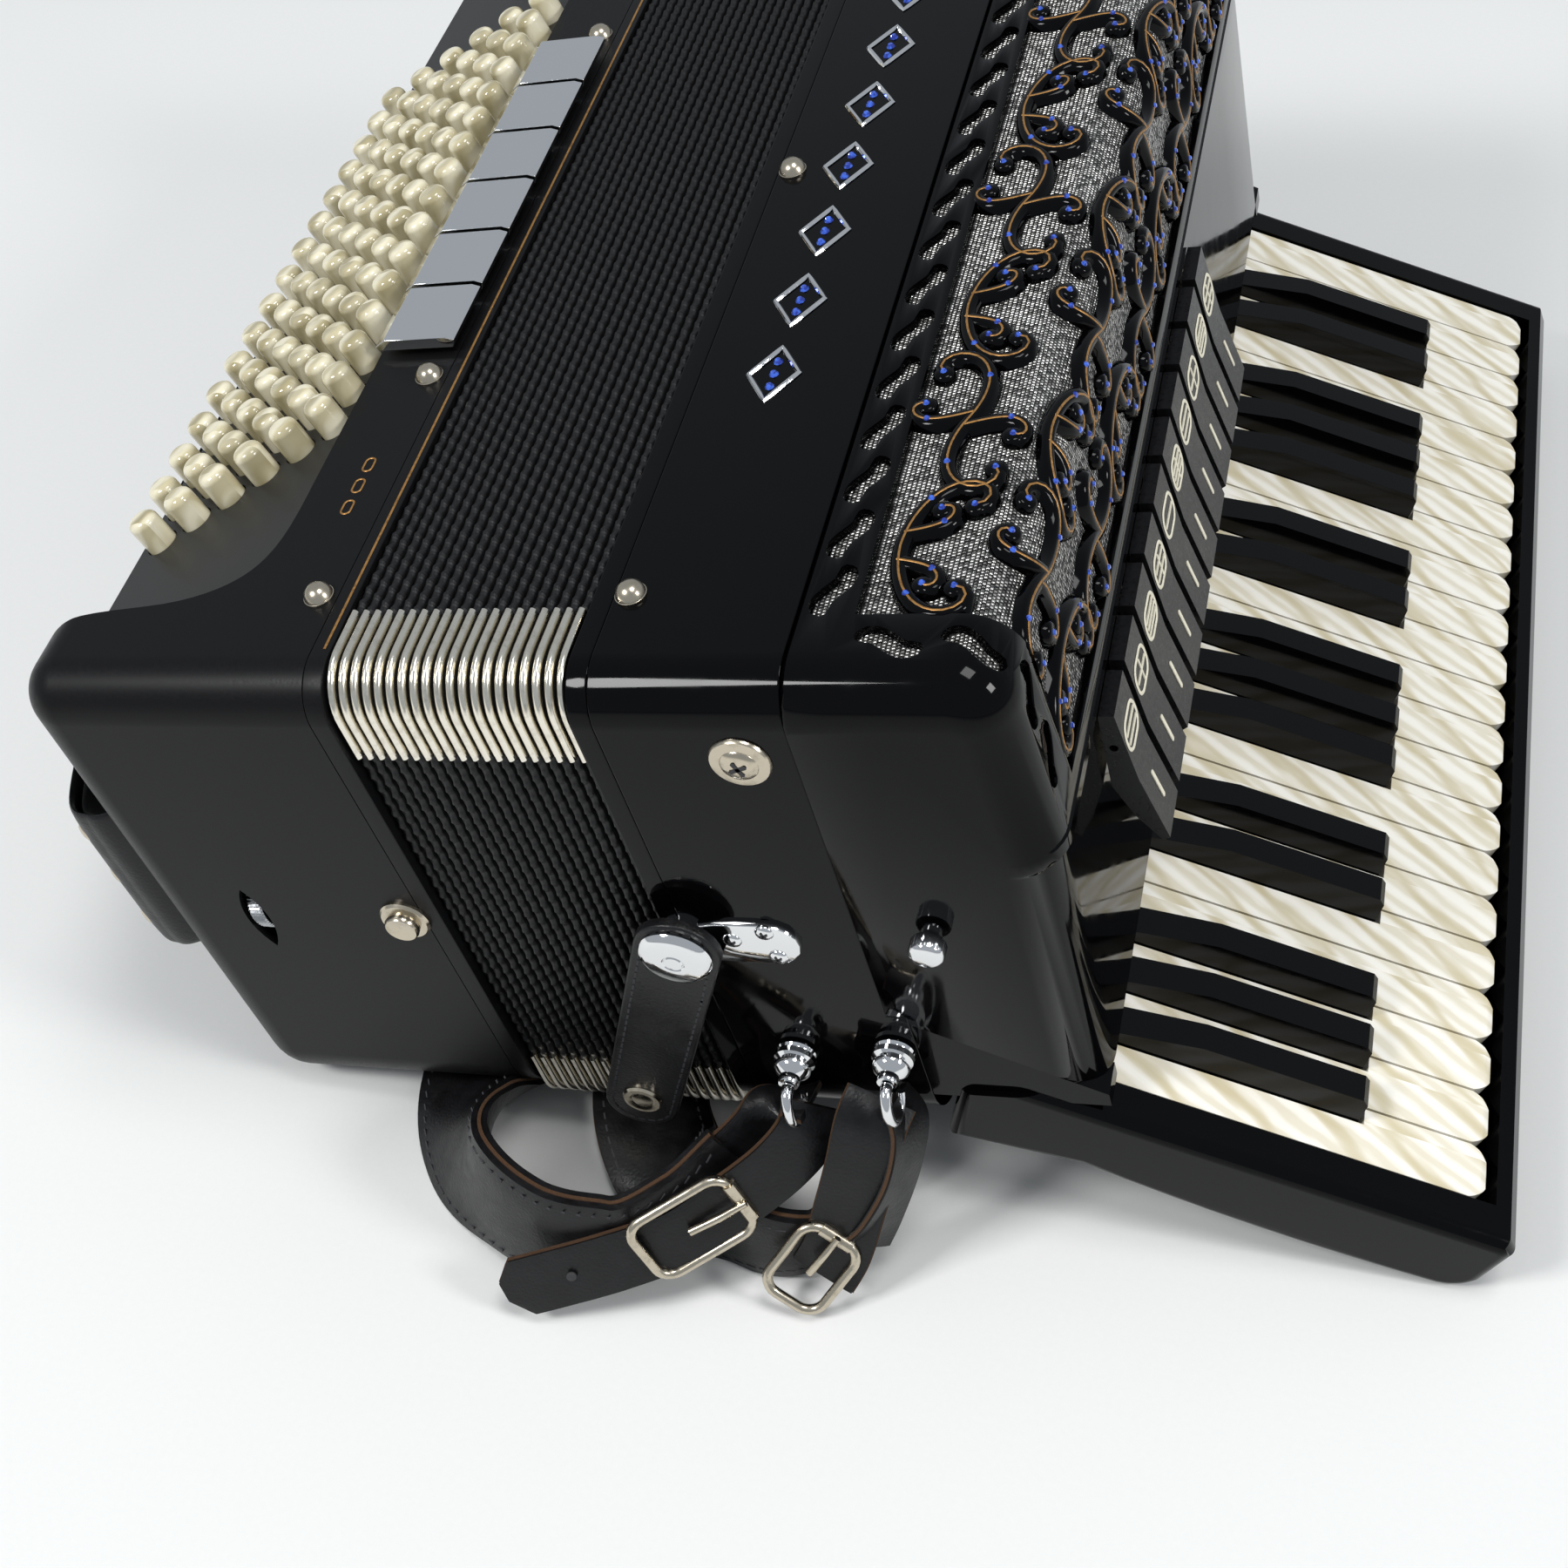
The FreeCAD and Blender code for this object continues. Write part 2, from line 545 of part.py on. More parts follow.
def recess_outline(inset):
    """Plan outline of the button recess: straight sides with an S at each end."""
    edge = BUTTON_EDGE_X - inset
    near = [(BASS_LEFT - 4, 6 + inset), (BASS_LEFT + 20, 19 + inset), (-346, 24 + inset),
            (-331 - inset, 34 + inset), (edge, 58 + inset), (edge, 78)]
    far = [(x, FAR_Y + CHIN_Y - y) for x, y in reversed(near)]
    curves = []
    for points in (near, far):
        spline = Part.BSplineCurve()
        spline.interpolate([Vector(x, y, 0) for x, y in points])
        curves.append(spline.toShape())
    curves.insert(1, Part.makeLine(Vector(*near[-1], 0), Vector(*far[0], 0)))
    curves.append(Part.makeLine(Vector(*far[-1], 0), Vector(*near[0], 0)))
    return Part.Face(Part.Wire(curves))


def slope_slab(z_under, z_over, x0=BASS_LEFT - 10, x1=BUTTON_EDGE_X + 1):
    """The space between two offsets of the plate's sloping plane."""
    outline = [(x0, plate_z(x0) + z_under), (x1, plate_z(x1) + z_under),
               (x1, plate_z(x1) + z_over), (x0, plate_z(x0) + z_over)]
    return prism_y(outline, CHIN_Y - 5, FAR_Y + 5)


def button_places():
    """Foot of every bass button on the plate: x, y and z."""
    places = []
    for column in range(BUTTON_COLUMNS):
        x = FIRST_COLUMN_X + column * COLUMN_PITCH
        for row in range(BUTTON_ROWS):
            y = FIRST_BUTTON_Y + column * BUTTON_STAGGER + row * BUTTON_PITCH
            places.append((x, y, plate_z(x)))
    return places


def button_solid(place, radius, below, above):
    x, y, z = place
    start = (x + below * SIN_BUTTON, y, z - below * COS_BUTTON)
    return rod(start, (-SIN_BUTTON, 0, COS_BUTTON), radius, below + above)


def bass_case():
    outer = rounded_bar(BASS_LEFT, BASS_RIGHT, 0, CORNER_FRONT, CORNER_BACK)
    side = [e for e in outer.Edges
            if all(abs(v.X - BASS_LEFT) < 0.01 for v in e.Vertexes)]
    outer = outer.makeFillet(13.9, side)
    inner = rounded_bar(BASS_LEFT + CASE_WALL, BASS_RIGHT + 1, CASE_WALL,
                        CORNER_FRONT, CORNER_BACK)
    inner = inner.common(box(BASS_LEFT, BASS_RIGHT + 2, CHIN_Y, FAR_Y, BACK_Z, 206))
    case = outer.cut(inner)
    prism = recess_outline(0).extrude(Vector(0, 0, 60))
    prism.translate(Vector(0, 0, 196))
    case = case.cut(prism.common(slope_slab(-2.2, 60)))
    window = box(-390.4, -321.5, 60, 340, 190, 232)
    case = case.cut(window.common(slope_slab(-60, -2.0, x1=-320.0)))
    # slot for the strap wheel, holes for the register stems, seat of the air button
    case = case.cut(wheel_slot())
    for i in range(BASS_TAB_COUNT):
        y = 139.5 + i * BASS_TAB_PITCH
        case = case.cut(rod((-310.5, y, 200), (0, 0, 1), 2.5, 50))
    return case.cut(rod((BASS_LEFT - 1, 46.0, 190.0), (1, 0, 0), 4.4, 10))


def wheel_slot():
    """Lens-shaped mouth in the chin end, opening into a square slot for the wheel."""
    x, z = WHEEL_PLACE
    half_width, half_length = 4.0, 14.0
    radius = (half_length ** 2 + half_width ** 2) / (2 * half_width)
    arcs = [rod((x + side * (radius - half_width), CHIN_Y - 1, z), (0, 1, 0), radius, 4)
            for side in (-1, 1)]
    return join([arcs[0].common(arcs[1]),
                 box(x - half_width, x + half_width, CHIN_Y + 2, 16, z - 13.0, z + 13.0)])


def bass_button_plate():
    outline = recess_outline(0.6).extrude(Vector(0, 0, 60))
    outline.translate(Vector(0, 0, 196))
    plate = outline.common(slope_slab(-2.0, 0.0, BASS_LEFT + 0.5, BUTTON_EDGE_X))
    holes = [button_solid(p, BUTTON_RADIUS + 0.45, 8, 8) for p in button_places()]
    return plate.cut(Part.makeCompound(holes))


def bass_buttons():
    solids = []
    for place in button_places():
        button = button_solid(place, BUTTON_RADIUS, 7.0, BUTTON_PROUD)
        rim = [e for e in button.Edges if e.Closed and
               e.BoundBox.Center.z > place[2] + 4]
        solids.append(button.makeFillet(2.6, rim))
    return Part.makeCompound(solids)


def bass_registers():
    """Chrome bars over the front land, each on a stem."""
    bars = []
    for i in range(BASS_TAB_COUNT):
        y0 = 127.0 + i * BASS_TAB_PITCH
        outline = [(-324.0, 238.6), (-298.6, 238.6), (-297.4, 241.4), (-300.0, 242.4),
                   (-321.0, 242.4), (-324.6, 240.2)]
        bar = prism_y(outline, y0, y0 + BASS_TAB_PITCH - 1.6)
        stem = rod((-310.5, y0 + 12.5, 214), (0, 0, 1), 2.0, 25)
        bars.append(join([bar, stem]))
    return Part.makeCompound(bars)


def bass_fittings():
    """Strap studs, bellows pins and the feet that the instrument stands on."""
    pieces = []
    for y_face, side in ((CHIN_Y, -1), (FAR_Y, 1)):
        stud = join([screw_head(-304.5, 138.0, y_face, side, 7.8, 1.6),
                     screw_head(-304.5, 138.0, y_face, side, 5.0, 5.0)])
        pieces.append(stud)
    for y in (24.0, 117.0, FAR_Y + CHIN_Y - 117.0, FAR_Y + CHIN_Y - 24.0):
        pieces.append(Part.makeSphere(4.2, Vector(-304.0, y, FRONT_Z), Vector(0, 0, 1), 0, 90, 360))
    for y in (10.0, FAR_Y + CHIN_Y - 10.0):
        for z in (66.0, 204.0):
            foot = Part.makeCone(8.5, 6.5, 6.0, Vector(BASS_LEFT, y, z), Vector(-1, 0, 0))
            pieces.append(foot)
    return Part.makeCompound(pieces)


def hand_strap():
    """Padded leather band for the left hand, bowed out from the bass side."""
    ends = []
    curves = []
    for offset in (0.0, 5.0):
        bow = 42.0 + offset
        points = [(-0.6 - offset * 0.2, 2 - offset), (-16 - offset, 6 - offset), (-30 - offset, 60),
                  (-bow, 140), (-bow, MIDDLE_Y), (-bow, 278), (-30 - offset, 358),
                  (-16 - offset, 412 + offset), (-0.6 - offset * 0.2, 416 + offset)]
        spline = Part.BSplineCurve()
        spline.interpolate([Vector(BASS_LEFT + x, y, 106) for x, y in points])
        curves.append(spline.toShape())
        ends.append((Vector(BASS_LEFT + points[0][0], points[0][1], 106),
                     Vector(BASS_LEFT + points[-1][0], points[-1][1], 106)))
    curves.append(Part.makeLine(ends[0][0], ends[1][0]))
    curves.append(Part.makeLine(ends[0][1], ends[1][1]))
    face = Part.Face(Part.Wire(Part.__sortEdges__(curves)))
    return face.extrude(Vector(0, 0, 66))


def strap_wheel():
    """Thumb wheel that tightens the hand strap, with its threaded spindle."""
    x, z = WHEEL_PLACE
    wheel = rod((x - 2.5, -0.5, z), (1, 0, 0), 12.0, 5.0)
    spindle = rod((x - 15.5, -0.5, z), (1, 0, 0), 2.2, 34.0)
    return join([wheel, spindle])


def air_button():
    return join([rod((BASS_LEFT - 8.0, 46.0, 190.0), (1, 0, 0), 4.0, 22.0),
                 rod((BASS_LEFT - 9.0, 46.0, 190.0), (1, 0, 0), 6.5, 3.0)])


# ------------------------------------------------------------------ the sub-parts
def subparts():
    parts = {
        "bass_case": bass_case(),
        "bass_button_plate": bass_button_plate(),
        "bass_bellows_frame": ring_frame(BASS_RIGHT, BELLOWS_LEFT),
        "bass_reed_blocks": reed_blocks(-345.0, BASS_RIGHT - 0.5, 2, 70.0, 70.0),
        "bass_fittings": bass_fittings(),
        "bass_buttons": bass_buttons(),
        "bass_registers": bass_registers(),
        "hand_strap": hand_strap(),
        "strap_wheel": strap_wheel(),
        "air_button": air_button(),
        "bellows_folds": bellows_folds(),
        "treble_bellows_frame": ring_frame(BELLOWS_RIGHT, TREBLE_LEFT),
        "treble_case": treble_case(),
        "treble_reed_blocks": reed_blocks(-209.0, TREBLE_RIGHT - 6.5, 4, 60.0, 40.0),
        "grille_cover": Part.makeCompound([grille_cover()] + cover_screws()),
        "keyboard_frame": keyboard_frame(),
        "key_axle": key_axle(),
        "register_tabs": register_tabs(),
        "treble_fittings": treble_fittings(),
        "bellows_strap_chin": bellows_strap(CHIN_Y, -1),
        "bellows_strap_far": bellows_strap(FAR_Y, 1),
        "shoulder_strap_a": shoulder_strap_a(),
        "shoulder_strap_b": shoulder_strap_b(),
    }
    for i in range(WHITE_COUNT):
        parts["key_white_%02d" % (i + 1)] = white_key(i)
    for number, i in enumerate(sharp_gaps()):
        parts["key_black_%02d" % (number + 1)] = black_key(i)
    return parts


os.makedirs("parts", exist_ok=True)
resting = {name: rest(shape) for name, shape in subparts().items()}
centre_x, centre_y = footprint_centre(resting.values())
print("tilt %.6f drop %.4f centre %.4f %.4f" % (TILT, REST_DROP, centre_x, centre_y))
for name, shape in resting.items():
    shape.translate(Vector(-centre_x, -centre_y, 0))
    shape.exportStep("parts/%s.step" % name)
    if not shape.isValid():
        print(name, "is not a valid shape")
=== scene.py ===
"""Piano accordion, lying on its back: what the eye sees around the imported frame.

Pieces are drawn in millimetres in the playing frame (x from the bass to the keys,
y from the chin end to the far end, z from the chest to the front) and laid down with
LAY. The shoulder straps are drawn on the table and placed with TABLE.
"""
import json
import math

import bmesh
import bpy
from mathutils import Matrix, Vector


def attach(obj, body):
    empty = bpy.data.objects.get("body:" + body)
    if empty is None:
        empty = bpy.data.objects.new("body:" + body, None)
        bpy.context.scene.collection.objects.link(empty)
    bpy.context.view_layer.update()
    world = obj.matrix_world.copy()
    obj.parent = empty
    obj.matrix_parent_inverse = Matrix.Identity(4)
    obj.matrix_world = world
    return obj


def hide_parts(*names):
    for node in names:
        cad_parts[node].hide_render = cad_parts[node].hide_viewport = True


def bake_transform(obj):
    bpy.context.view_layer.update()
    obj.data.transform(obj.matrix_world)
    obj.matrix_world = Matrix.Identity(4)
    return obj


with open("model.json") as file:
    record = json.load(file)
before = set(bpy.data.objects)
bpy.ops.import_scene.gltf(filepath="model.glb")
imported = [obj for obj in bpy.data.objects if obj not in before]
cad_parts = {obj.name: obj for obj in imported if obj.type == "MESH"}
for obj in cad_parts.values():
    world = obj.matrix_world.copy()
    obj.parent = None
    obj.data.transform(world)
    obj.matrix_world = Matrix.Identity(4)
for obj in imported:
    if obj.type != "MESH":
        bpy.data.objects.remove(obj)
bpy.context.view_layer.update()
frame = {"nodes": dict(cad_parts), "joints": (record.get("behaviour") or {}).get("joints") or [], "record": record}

MM = 0.001

# ------------------------------------------------------------- the two drawing frames
JOINTS = {joint["name"]: joint for joint in frame["joints"]}
ALONG = Vector(JOINTS["bellows_opening"]["axis"])
ACROSS = Vector((0.0, 1.0, 0.0))
UP = Vector((-ALONG.z, 0.0, ALONG.x))
PIVOT = Vector((-215.7, -18.0, 138.0))
PIVOT_LAID = Vector(JOINTS["bellows_strap_chin_swing"]["pos_m"])


def laying_matrix():
    """Playing frame in millimetres to the row frame in metres."""
    turn = Matrix((ALONG, ACROSS, UP)).transposed() * MM
    laid = turn.to_4x4()
    laid.translation = PIVOT_LAID - turn @ PIVOT
    return laid


LAY = laying_matrix()
TABLE = Matrix.Translation((PIVOT_LAID.x - (PIVOT.x * ALONG.x - PIVOT.z * ALONG.z) * MM,
                            PIVOT_LAID.y - PIVOT.y * MM, 0.0)) @ Matrix.Scale(MM, 4)

# ---------------------------------------------------------------------- driving sizes
CHIN_Y = -12.0
FAR_Y = 430.0
MIDDLE_Y = (CHIN_Y + FAR_Y) / 2
ENDS = ((CHIN_Y, -1), (FAR_Y, 1))  # each end face and the way it looks along y
FRONT_Z = 236.0
CORNER = 14.0

WHITE_COUNT = 22
WHITE_PITCH = 19.0

COVER_LEFT = -164.0
COVER_RIGHT = -104.0
SHOULDER = 16.0                 # radius of the cover's shoulder
SHOULDER_X = COVER_RIGHT - 2.0 - SHOULDER
SHOULDER_Z = FRONT_Z - SHOULDER
RAIL_TOP = 172.0
RAIL_FOOT = 165.0
GRILLE_DEPTH = 2.8              # how deep the fretwork stands over its cloth
FRONT_RUN = SHOULDER_X - COVER_LEFT
SHOULDER_RUN = SHOULDER * math.pi / 2
STEEP_RUN = math.hypot(3.5, SHOULDER_Z - RAIL_TOP)
SLOT_ROW = 8.0                  # the row of S slots, in from the cover's left edge
CLOTH_ROW = 1.3
CLOTH_LOOP = 1.1
WINDOW_LEFT = 15.5
WINDOW_RIGHT = FRONT_RUN + SHOULDER_RUN + STEEP_RUN - 5.0
WINDOW_CHIN = 15.0
WINDOW_FAR = FAR_Y + CHIN_Y - WINDOW_CHIN

FOLD_COUNT = 20
FOLD_PITCH = 3.53
BELLOWS_LEFT = -292.3
BELLOWS_CHIN_Y = -10.0
BELLOWS_BACK_Z = 36.0
FOLD_DEPTH = 17.0
EMBOSS_PITCH = 5.3

TAB_COUNT = 10
TAB_PITCH = 21.4
TAB_WIDTH = 17.6
TAB_FIRST_Y = 47.6

BASS_LEFT = -393.0
CASE_SCREW = (-178.7, 211.0)      # x and z of the large screw at each end

BODY_OF = {node: body for body, nodes in frame["record"]["behaviour"]["bodies"].items()
           for node in nodes}


# ---------------------------------------------------------------------- material tools
def linear(code):
    """An sRGB hex colour as linear red, green, blue and alpha."""
    parts = [int(code[i:i + 2], 16) / 255 for i in (1, 3, 5)]
    return [c / 12.92 if c <= 0.04045 else ((c + 0.055) / 1.055) ** 2.4 for c in parts] + [1.0]


def add(tree, kind, inputs=None, **settings):
    """Add one node; an input is a plain value or an output socket to link."""
    made = tree.nodes.new("ShaderNode" + kind)
    for key, value in settings.items():
        setattr(made, key, value)
    for key, value in (inputs or {}).items():
        if isinstance(value, bpy.types.NodeSocket):
            tree.links.new(value, made.inputs[key])
        else:
            made.inputs[key].default_value = value
    return made


def start(name, colour, roughness, **shader):
    """A new material with its shader set; returns it with its tree and shader."""
    made = bpy.data.materials.new(name)
    made.use_nodes = True
    tree = made.node_tree
    surface = tree.nodes["Principled BSDF"]
    surface.inputs["Base Color"].default_value = linear(colour)
    surface.inputs["Roughness"].default_value = roughness
    for key, value in shader.items():
        surface.inputs[key.replace("_", " ")].default_value = value
    return made, tree, surface


def placed(tree, scale=(1, 1, 1)):
    """Object coordinates in millimetres, scaled for a pattern."""
    where = add(tree, "TexCoord").outputs["Object"]
    return add(tree, "Mapping", {"Vector": where, "Scale": [s / MM for s in scale]}).outputs["Vector"]


def mixed(tree, low, high, by):
    """A colour that runs from one hex or socket to another."""
    blend = add(tree, "Mix", {"Factor": by}, data_type="RGBA")
    for slot, value in ((6, low), (7, high)):
        if isinstance(value, str):
            blend.inputs[slot].default_value = linear(value)
        else:
            tree.links.new(value, blend.inputs[slot])
    return blend.outputs[2]


def ramp(tree, source, *stops):
    """A grey ramp through (position, value) stops."""
    made = add(tree, "ValToRGB", {"Fac": source})
    cells = made.color_ramp.elements
    while len(cells) < len(stops):
        cells.new(0.5)
    for cell, (position, value) in zip(cells, stops):
        cell.position = position
        cell.color = (value, value, value, 1.0)
    return made.outputs["Color"]


def bump(tree, surface, height, strength, distance_mm):
    made = add(tree, "Bump", {"Height": height, "Strength": strength,
                              "Distance": distance_mm * MM})
    tree.links.new(made.outputs["Normal"], surface.inputs["Normal"])


def noise(tree, where, scale, detail=3.0, roughness=0.55):
    return add(tree, "TexNoise", {"Vector": where, "Scale": scale, "Detail": detail,
                                  "Roughness": roughness}).outputs["Fac"]


def grained(name, colour, roughness, grain, scale=(1, 1, 1), gloss=None, tones=None,
            patches=None, relief=None, **shader):
    """A finish whose gloss, colour and relief all follow one field of noise."""
    made, tree, surface = start(name, colour, roughness, **shader)
    field = noise(tree, placed(tree, scale), *grain)
    if gloss:
        tree.links.new(ramp(tree, field, *gloss), surface.inputs["Roughness"])
    if tones:
        share = ramp(tree, field, *patches) if patches else field
        tree.links.new(mixed(tree, *tones, share), surface.inputs["Base Color"])
    if relief:
        bump(tree, surface, field, *relief)
    return made


# --------------------------------------------------------------------------- materials
def black_celluloid():
    """Cellulose nitrate sheet over wood, buffed: deep black, wet gloss, faint ripple."""
    made, tree, surface = start("black_celluloid", "#030304", 0.05, IOR=1.45,
                                Specular_IOR_Level=0.15)
    where = placed(tree)
    haze = noise(tree, where, 0.09)
    tree.links.new(ramp(tree, haze, (0.35, 0.04), (0.75, 0.11)), surface.inputs["Roughness"])
    bump(tree, surface, noise(tree, where, 0.05, 1.0), 0.05, 0.5)
    return made


def satin_celluloid():
    """The same sheet, scoured matt on the bass box: soft grey sheen, fine rub marks."""
    made, tree, surface = start("satin_black_celluloid", "#0C0C0D", 0.36, IOR=1.46,
                                Specular_IOR_Level=0.15)
    where = placed(tree, (1, 0.25, 1))
    rub = noise(tree, where, 1.6, 6.0, 0.7)
    tree.links.new(ramp(tree, rub, (0.3, 0.30), (0.8, 0.48)), surface.inputs["Roughness"])
    tree.links.new(mixed(tree, "#0A0A0B", "#121213", rub), surface.inputs["Base Color"])
    bump(tree, surface, noise(tree, where, 2.5, 4.0), 0.05, 0.1)
    return made


def button_plate_lacquer():
    """Lacquered aluminium plate under the bass buttons: satin, brushed along its length."""
    return grained("satin_lacquered_aluminium", "#1B1B1A", 0.42, (2.2, 5.0, 0.7), (1, 0.04, 1),
                   tones=("#151514", "#242422"), relief=(0.10, 0.1), IOR=1.45)


def pearl(name, light, middle, dark, lean, period, pitch):
    """Mother-of-pearl celluloid: long silky streaks that differ from key to key."""
    made, tree, surface = start(name, middle, 0.16, IOR=1.50, Coat_Weight=0.5,
                                Coat_Roughness=0.06)
    where = add(tree, "TexCoord").outputs["Object"]
    across = add(tree, "SeparateXYZ", {"Vector": where}).outputs["Y"]
    number = add(tree, "Math", {0: across, 1: pitch * MM}, operation="DIVIDE").outputs[0]
    number = add(tree, "Math", {0: number}, operation="FLOOR").outputs[0]
    shift = add(tree, "TexWhiteNoise", {"W": number}, noise_dimensions="1D").outputs["Color"]
    moved = add(tree, "VectorMath", {0: where, 1: shift}, operation="ADD").outputs["Vector"]
    fields = []
    for turn, size, bend in ((lean, period, 4.0), (lean * 0.85, period * 2.3, 6.0)):
        laid = add(tree, "Mapping", {"Vector": moved, "Rotation": (0, 0, turn),
                                     "Scale": (1 / MM, 1 / MM, 1 / MM)}).outputs["Vector"]
        laid = add(tree, "Mapping", {"Vector": laid, "Scale": (1.0, 0.32, 0.5)}).outputs["Vector"]
        fields.append(add(tree, "TexWave", {"Vector": laid, "Scale": math.tau / 20 / size,
                                            "Distortion": bend, "Detail": 3.0,
                                            "Detail Scale": 1.6, "Detail Roughness": 0.62},
                          bands_direction="X", wave_profile="SIN").outputs["Fac"])
    silk = ramp(tree, fields[0], (0.10, 0.0), (0.45, 0.55), (0.90, 1.0))
    fold = ramp(tree, fields[1], (0.0, 1.0), (0.30, 0.15), (0.55, 0.0))
    body = mixed(tree, middle, light, silk)
    shade = add(tree, "Math", {0: fold, 1: 0.75}, operation="MULTIPLY").outputs[0]
    tree.links.new(mixed(tree, body, dark, shade), surface.inputs["Base Color"])
    tree.links.new(ramp(tree, fields[0], (0.2, 0.12), (0.8, 0.26)), surface.inputs["Roughness"])
    return made


def black_key_celluloid():
    """Solid black celluloid key caps, hand polished: gloss with faint play marks."""
    return grained("polished_black_key", "#040405", 0.12, (1.5, 5.0, 0.7), (0.2, 1.5, 1),
                   gloss=((0.35, 0.08), (0.8, 0.26)), IOR=1.48, Specular_IOR_Level=0.2)


def bellows_cloth():
    """Book cloth glued over card: dull black with a calendered weave and rubbed tops."""
    made, tree, surface = start("calendered_bellows_cloth", "#0C0C0D", 0.42, IOR=1.45,
                                Specular_IOR_Level=0.4)
    where = placed(tree)
    # the real threads are 0.3 mm apart; 0.9 mm is the finest that shows
    warp = add(tree, "TexWave", {"Vector": where, "Scale": 0.35, "Distortion": 1.0},
               bands_direction="Y").outputs["Fac"]
    grain = noise(tree, where, 1.1, 4.0, 0.7)
    tree.links.new(mixed(tree, "#070708", "#121213", grain), surface.inputs["Base Color"])
    tree.links.new(ramp(tree, grain, (0.3, 0.38), (0.8, 0.62)), surface.inputs["Roughness"])
    bump(tree, surface, warp, 0.25, 0.12)
    return made


def nickel(name="worn_nickel_plate", colour="#C6BCA9", roughness=0.20):
    """Nickel plate on brass: warm grey mirror, clouded by handling."""
    return grained(name, colour, roughness, (0.30, 5.0, 0.65),
                   gloss=((0.3, roughness * 0.6), (0.8, roughness * 1.8)),
                   tones=(colour, "#8F8674"), patches=((0.5, 0.0), (0.85, 0.6)), Metallic=1.0)


def chrome():
    """Chrome plate, polished: neutral mirror with a breath of haze."""
    return grained("polished_chrome_plate", "#E4E5E6", 0.06, (0.5, 3.0),
                   gloss=((0.4, 0.03), (0.8, 0.14)), Metallic=1.0)


def gilding():
    """Bronze paint run into an engraved line: dull warm gold with bare patches."""
    return grained("bronze_line_paint", "#9A6E36", 0.42, (0.9, 4.0), tones=("#A67A42", "#5E4020"),
                   patches=((0.45, 0.0), (0.75, 0.8)), Metallic=0.6)


def blue_stone():
    """Foil-backed cut glass: sapphire blue, bright from any side."""
    return grained("foiled_blue_glass", "#1D49C8", 0.05, (0.8, 1.0), tones=("#12309C", "#3E6FEA"),
                   patches=((0.4, 0.0), (0.6, 1.0)), IOR=1.60, Metallic=0.35, Coat_Weight=1.0,
                   Coat_Roughness=0.02)


def grille_cloth():
    """Lurex cloth: silver strip over black cotton, knitted in 1.3 mm rows, with painted glints: each loop's silver
    is painted brighter or darker at random.
    """
    made, tree, surface = start("silver_lurex_cloth", "#8E8C86", 0.26)
    split = add(tree, "SeparateXYZ", {"Vector": add(tree, "UVMap").outputs["UV"]})
    # each row is shifted by half a loop from the last
    row = add(tree, "Math", {0: split.outputs["X"], 1: CLOTH_ROW}, operation="DIVIDE").outputs[0]
    step = add(tree, "Math", {0: row}, operation="FLOOR").outputs[0]
    half = add(tree, "Math", {0: step, 1: 0.5}, operation="MULTIPLY").outputs[0]
    loop = add(tree, "Math", {0: split.outputs["Y"], 1: CLOTH_LOOP}, operation="DIVIDE").outputs[0]
    loop = add(tree, "Math", {0: loop, 1: half}, operation="ADD").outputs[0]
    beads = []
    for value in (row, loop):
        cell = add(tree, "Math", {0: value, 1: math.pi}, operation="MULTIPLY").outputs[0]
        wave = add(tree, "Math", {0: cell}, operation="SINE").outputs[0]
        beads.append(add(tree, "Math", {0: wave}, operation="ABSOLUTE").outputs[0])
    bead = add(tree, "Math", {0: beads[0], 1: beads[1]}, operation="MULTIPLY").outputs[0]
    cell = add(tree, "CombineXYZ", {"X": step, "Y": add(tree, "Math", {0: loop},
                                                        operation="FLOOR").outputs[0]})
    # painted glints: white noise per loop sets how bright that loop's silver is painted, standing in for light
    # glinting off the strip
    glint = add(tree, "TexWhiteNoise", {"Vector": cell.outputs[0]},
                noise_dimensions="3D").outputs["Value"]
    shine = ramp(tree, bead, (0.22, 0.0), (0.42, 1.0))
    painted_glint = ramp(tree, glint, (0.15, 0.12), (0.85, 1.0))
    silver = add(tree, "Math", {0: shine, 1: painted_glint}, operation="MULTIPLY").outputs[0]
    tree.links.new(mixed(tree, "#0C0B0A", "#FAF8F2", silver), surface.inputs["Base Color"])
    tree.links.new(ramp(tree, shine, (0.0, 0.0), (1.0, 0.85)), surface.inputs["Metallic"])
    bump(tree, surface, bead, 0.9, 0.5)
    return made


def leather(name="black_bridle_leather", low="#0A0A0B", high="#161618", roughness=0.38):
    """Waxed cowhide: close pebbled grain 0.9 mm across, greyed where it flexes."""
    made, tree, surface = start(name, low, roughness, IOR=1.46, Specular_IOR_Level=0.35)
    where = placed(tree)
    cells = add(tree, "TexVoronoi", {"Vector": where, "Scale": 1.1, "Randomness": 1.0},
                feature="SMOOTH_F1").outputs["Distance"]
    wear = noise(tree, where, 0.12, 5.0, 0.65)
    tree.links.new(mixed(tree, low, high, ramp(tree, wear, (0.35, 0.0), (0.75, 1.0))),
                   surface.inputs["Base Color"])
    tree.links.new(ramp(tree, wear, (0.3, roughness - 0.08), (0.8, roughness + 0.12)),
                   surface.inputs["Roughness"])
    bump(tree, surface, cells, 0.30, 0.25)
    return made


def raw_edge():
    """Cut hide edge, dyed brown and furred: rough, fibrous, warm."""
    return grained("raw_hide_edge", "#4A301B", 0.85, (1.0, 5.0, 0.7), (1, 1, 3),
                   tones=("#24160C", "#573819"), relief=(0.7, 0.5))


def thread():
    """Waxed linen thread, black: dull, twisted."""
    made, tree, surface = start("waxed_linen_thread", "#26262A", 0.6)
    twist = add(tree, "TexWave", {"Vector": placed(tree), "Scale": 0.6}).outputs["Fac"]
    bump(tree, surface, twist, 0.4, 0.15)
    return made


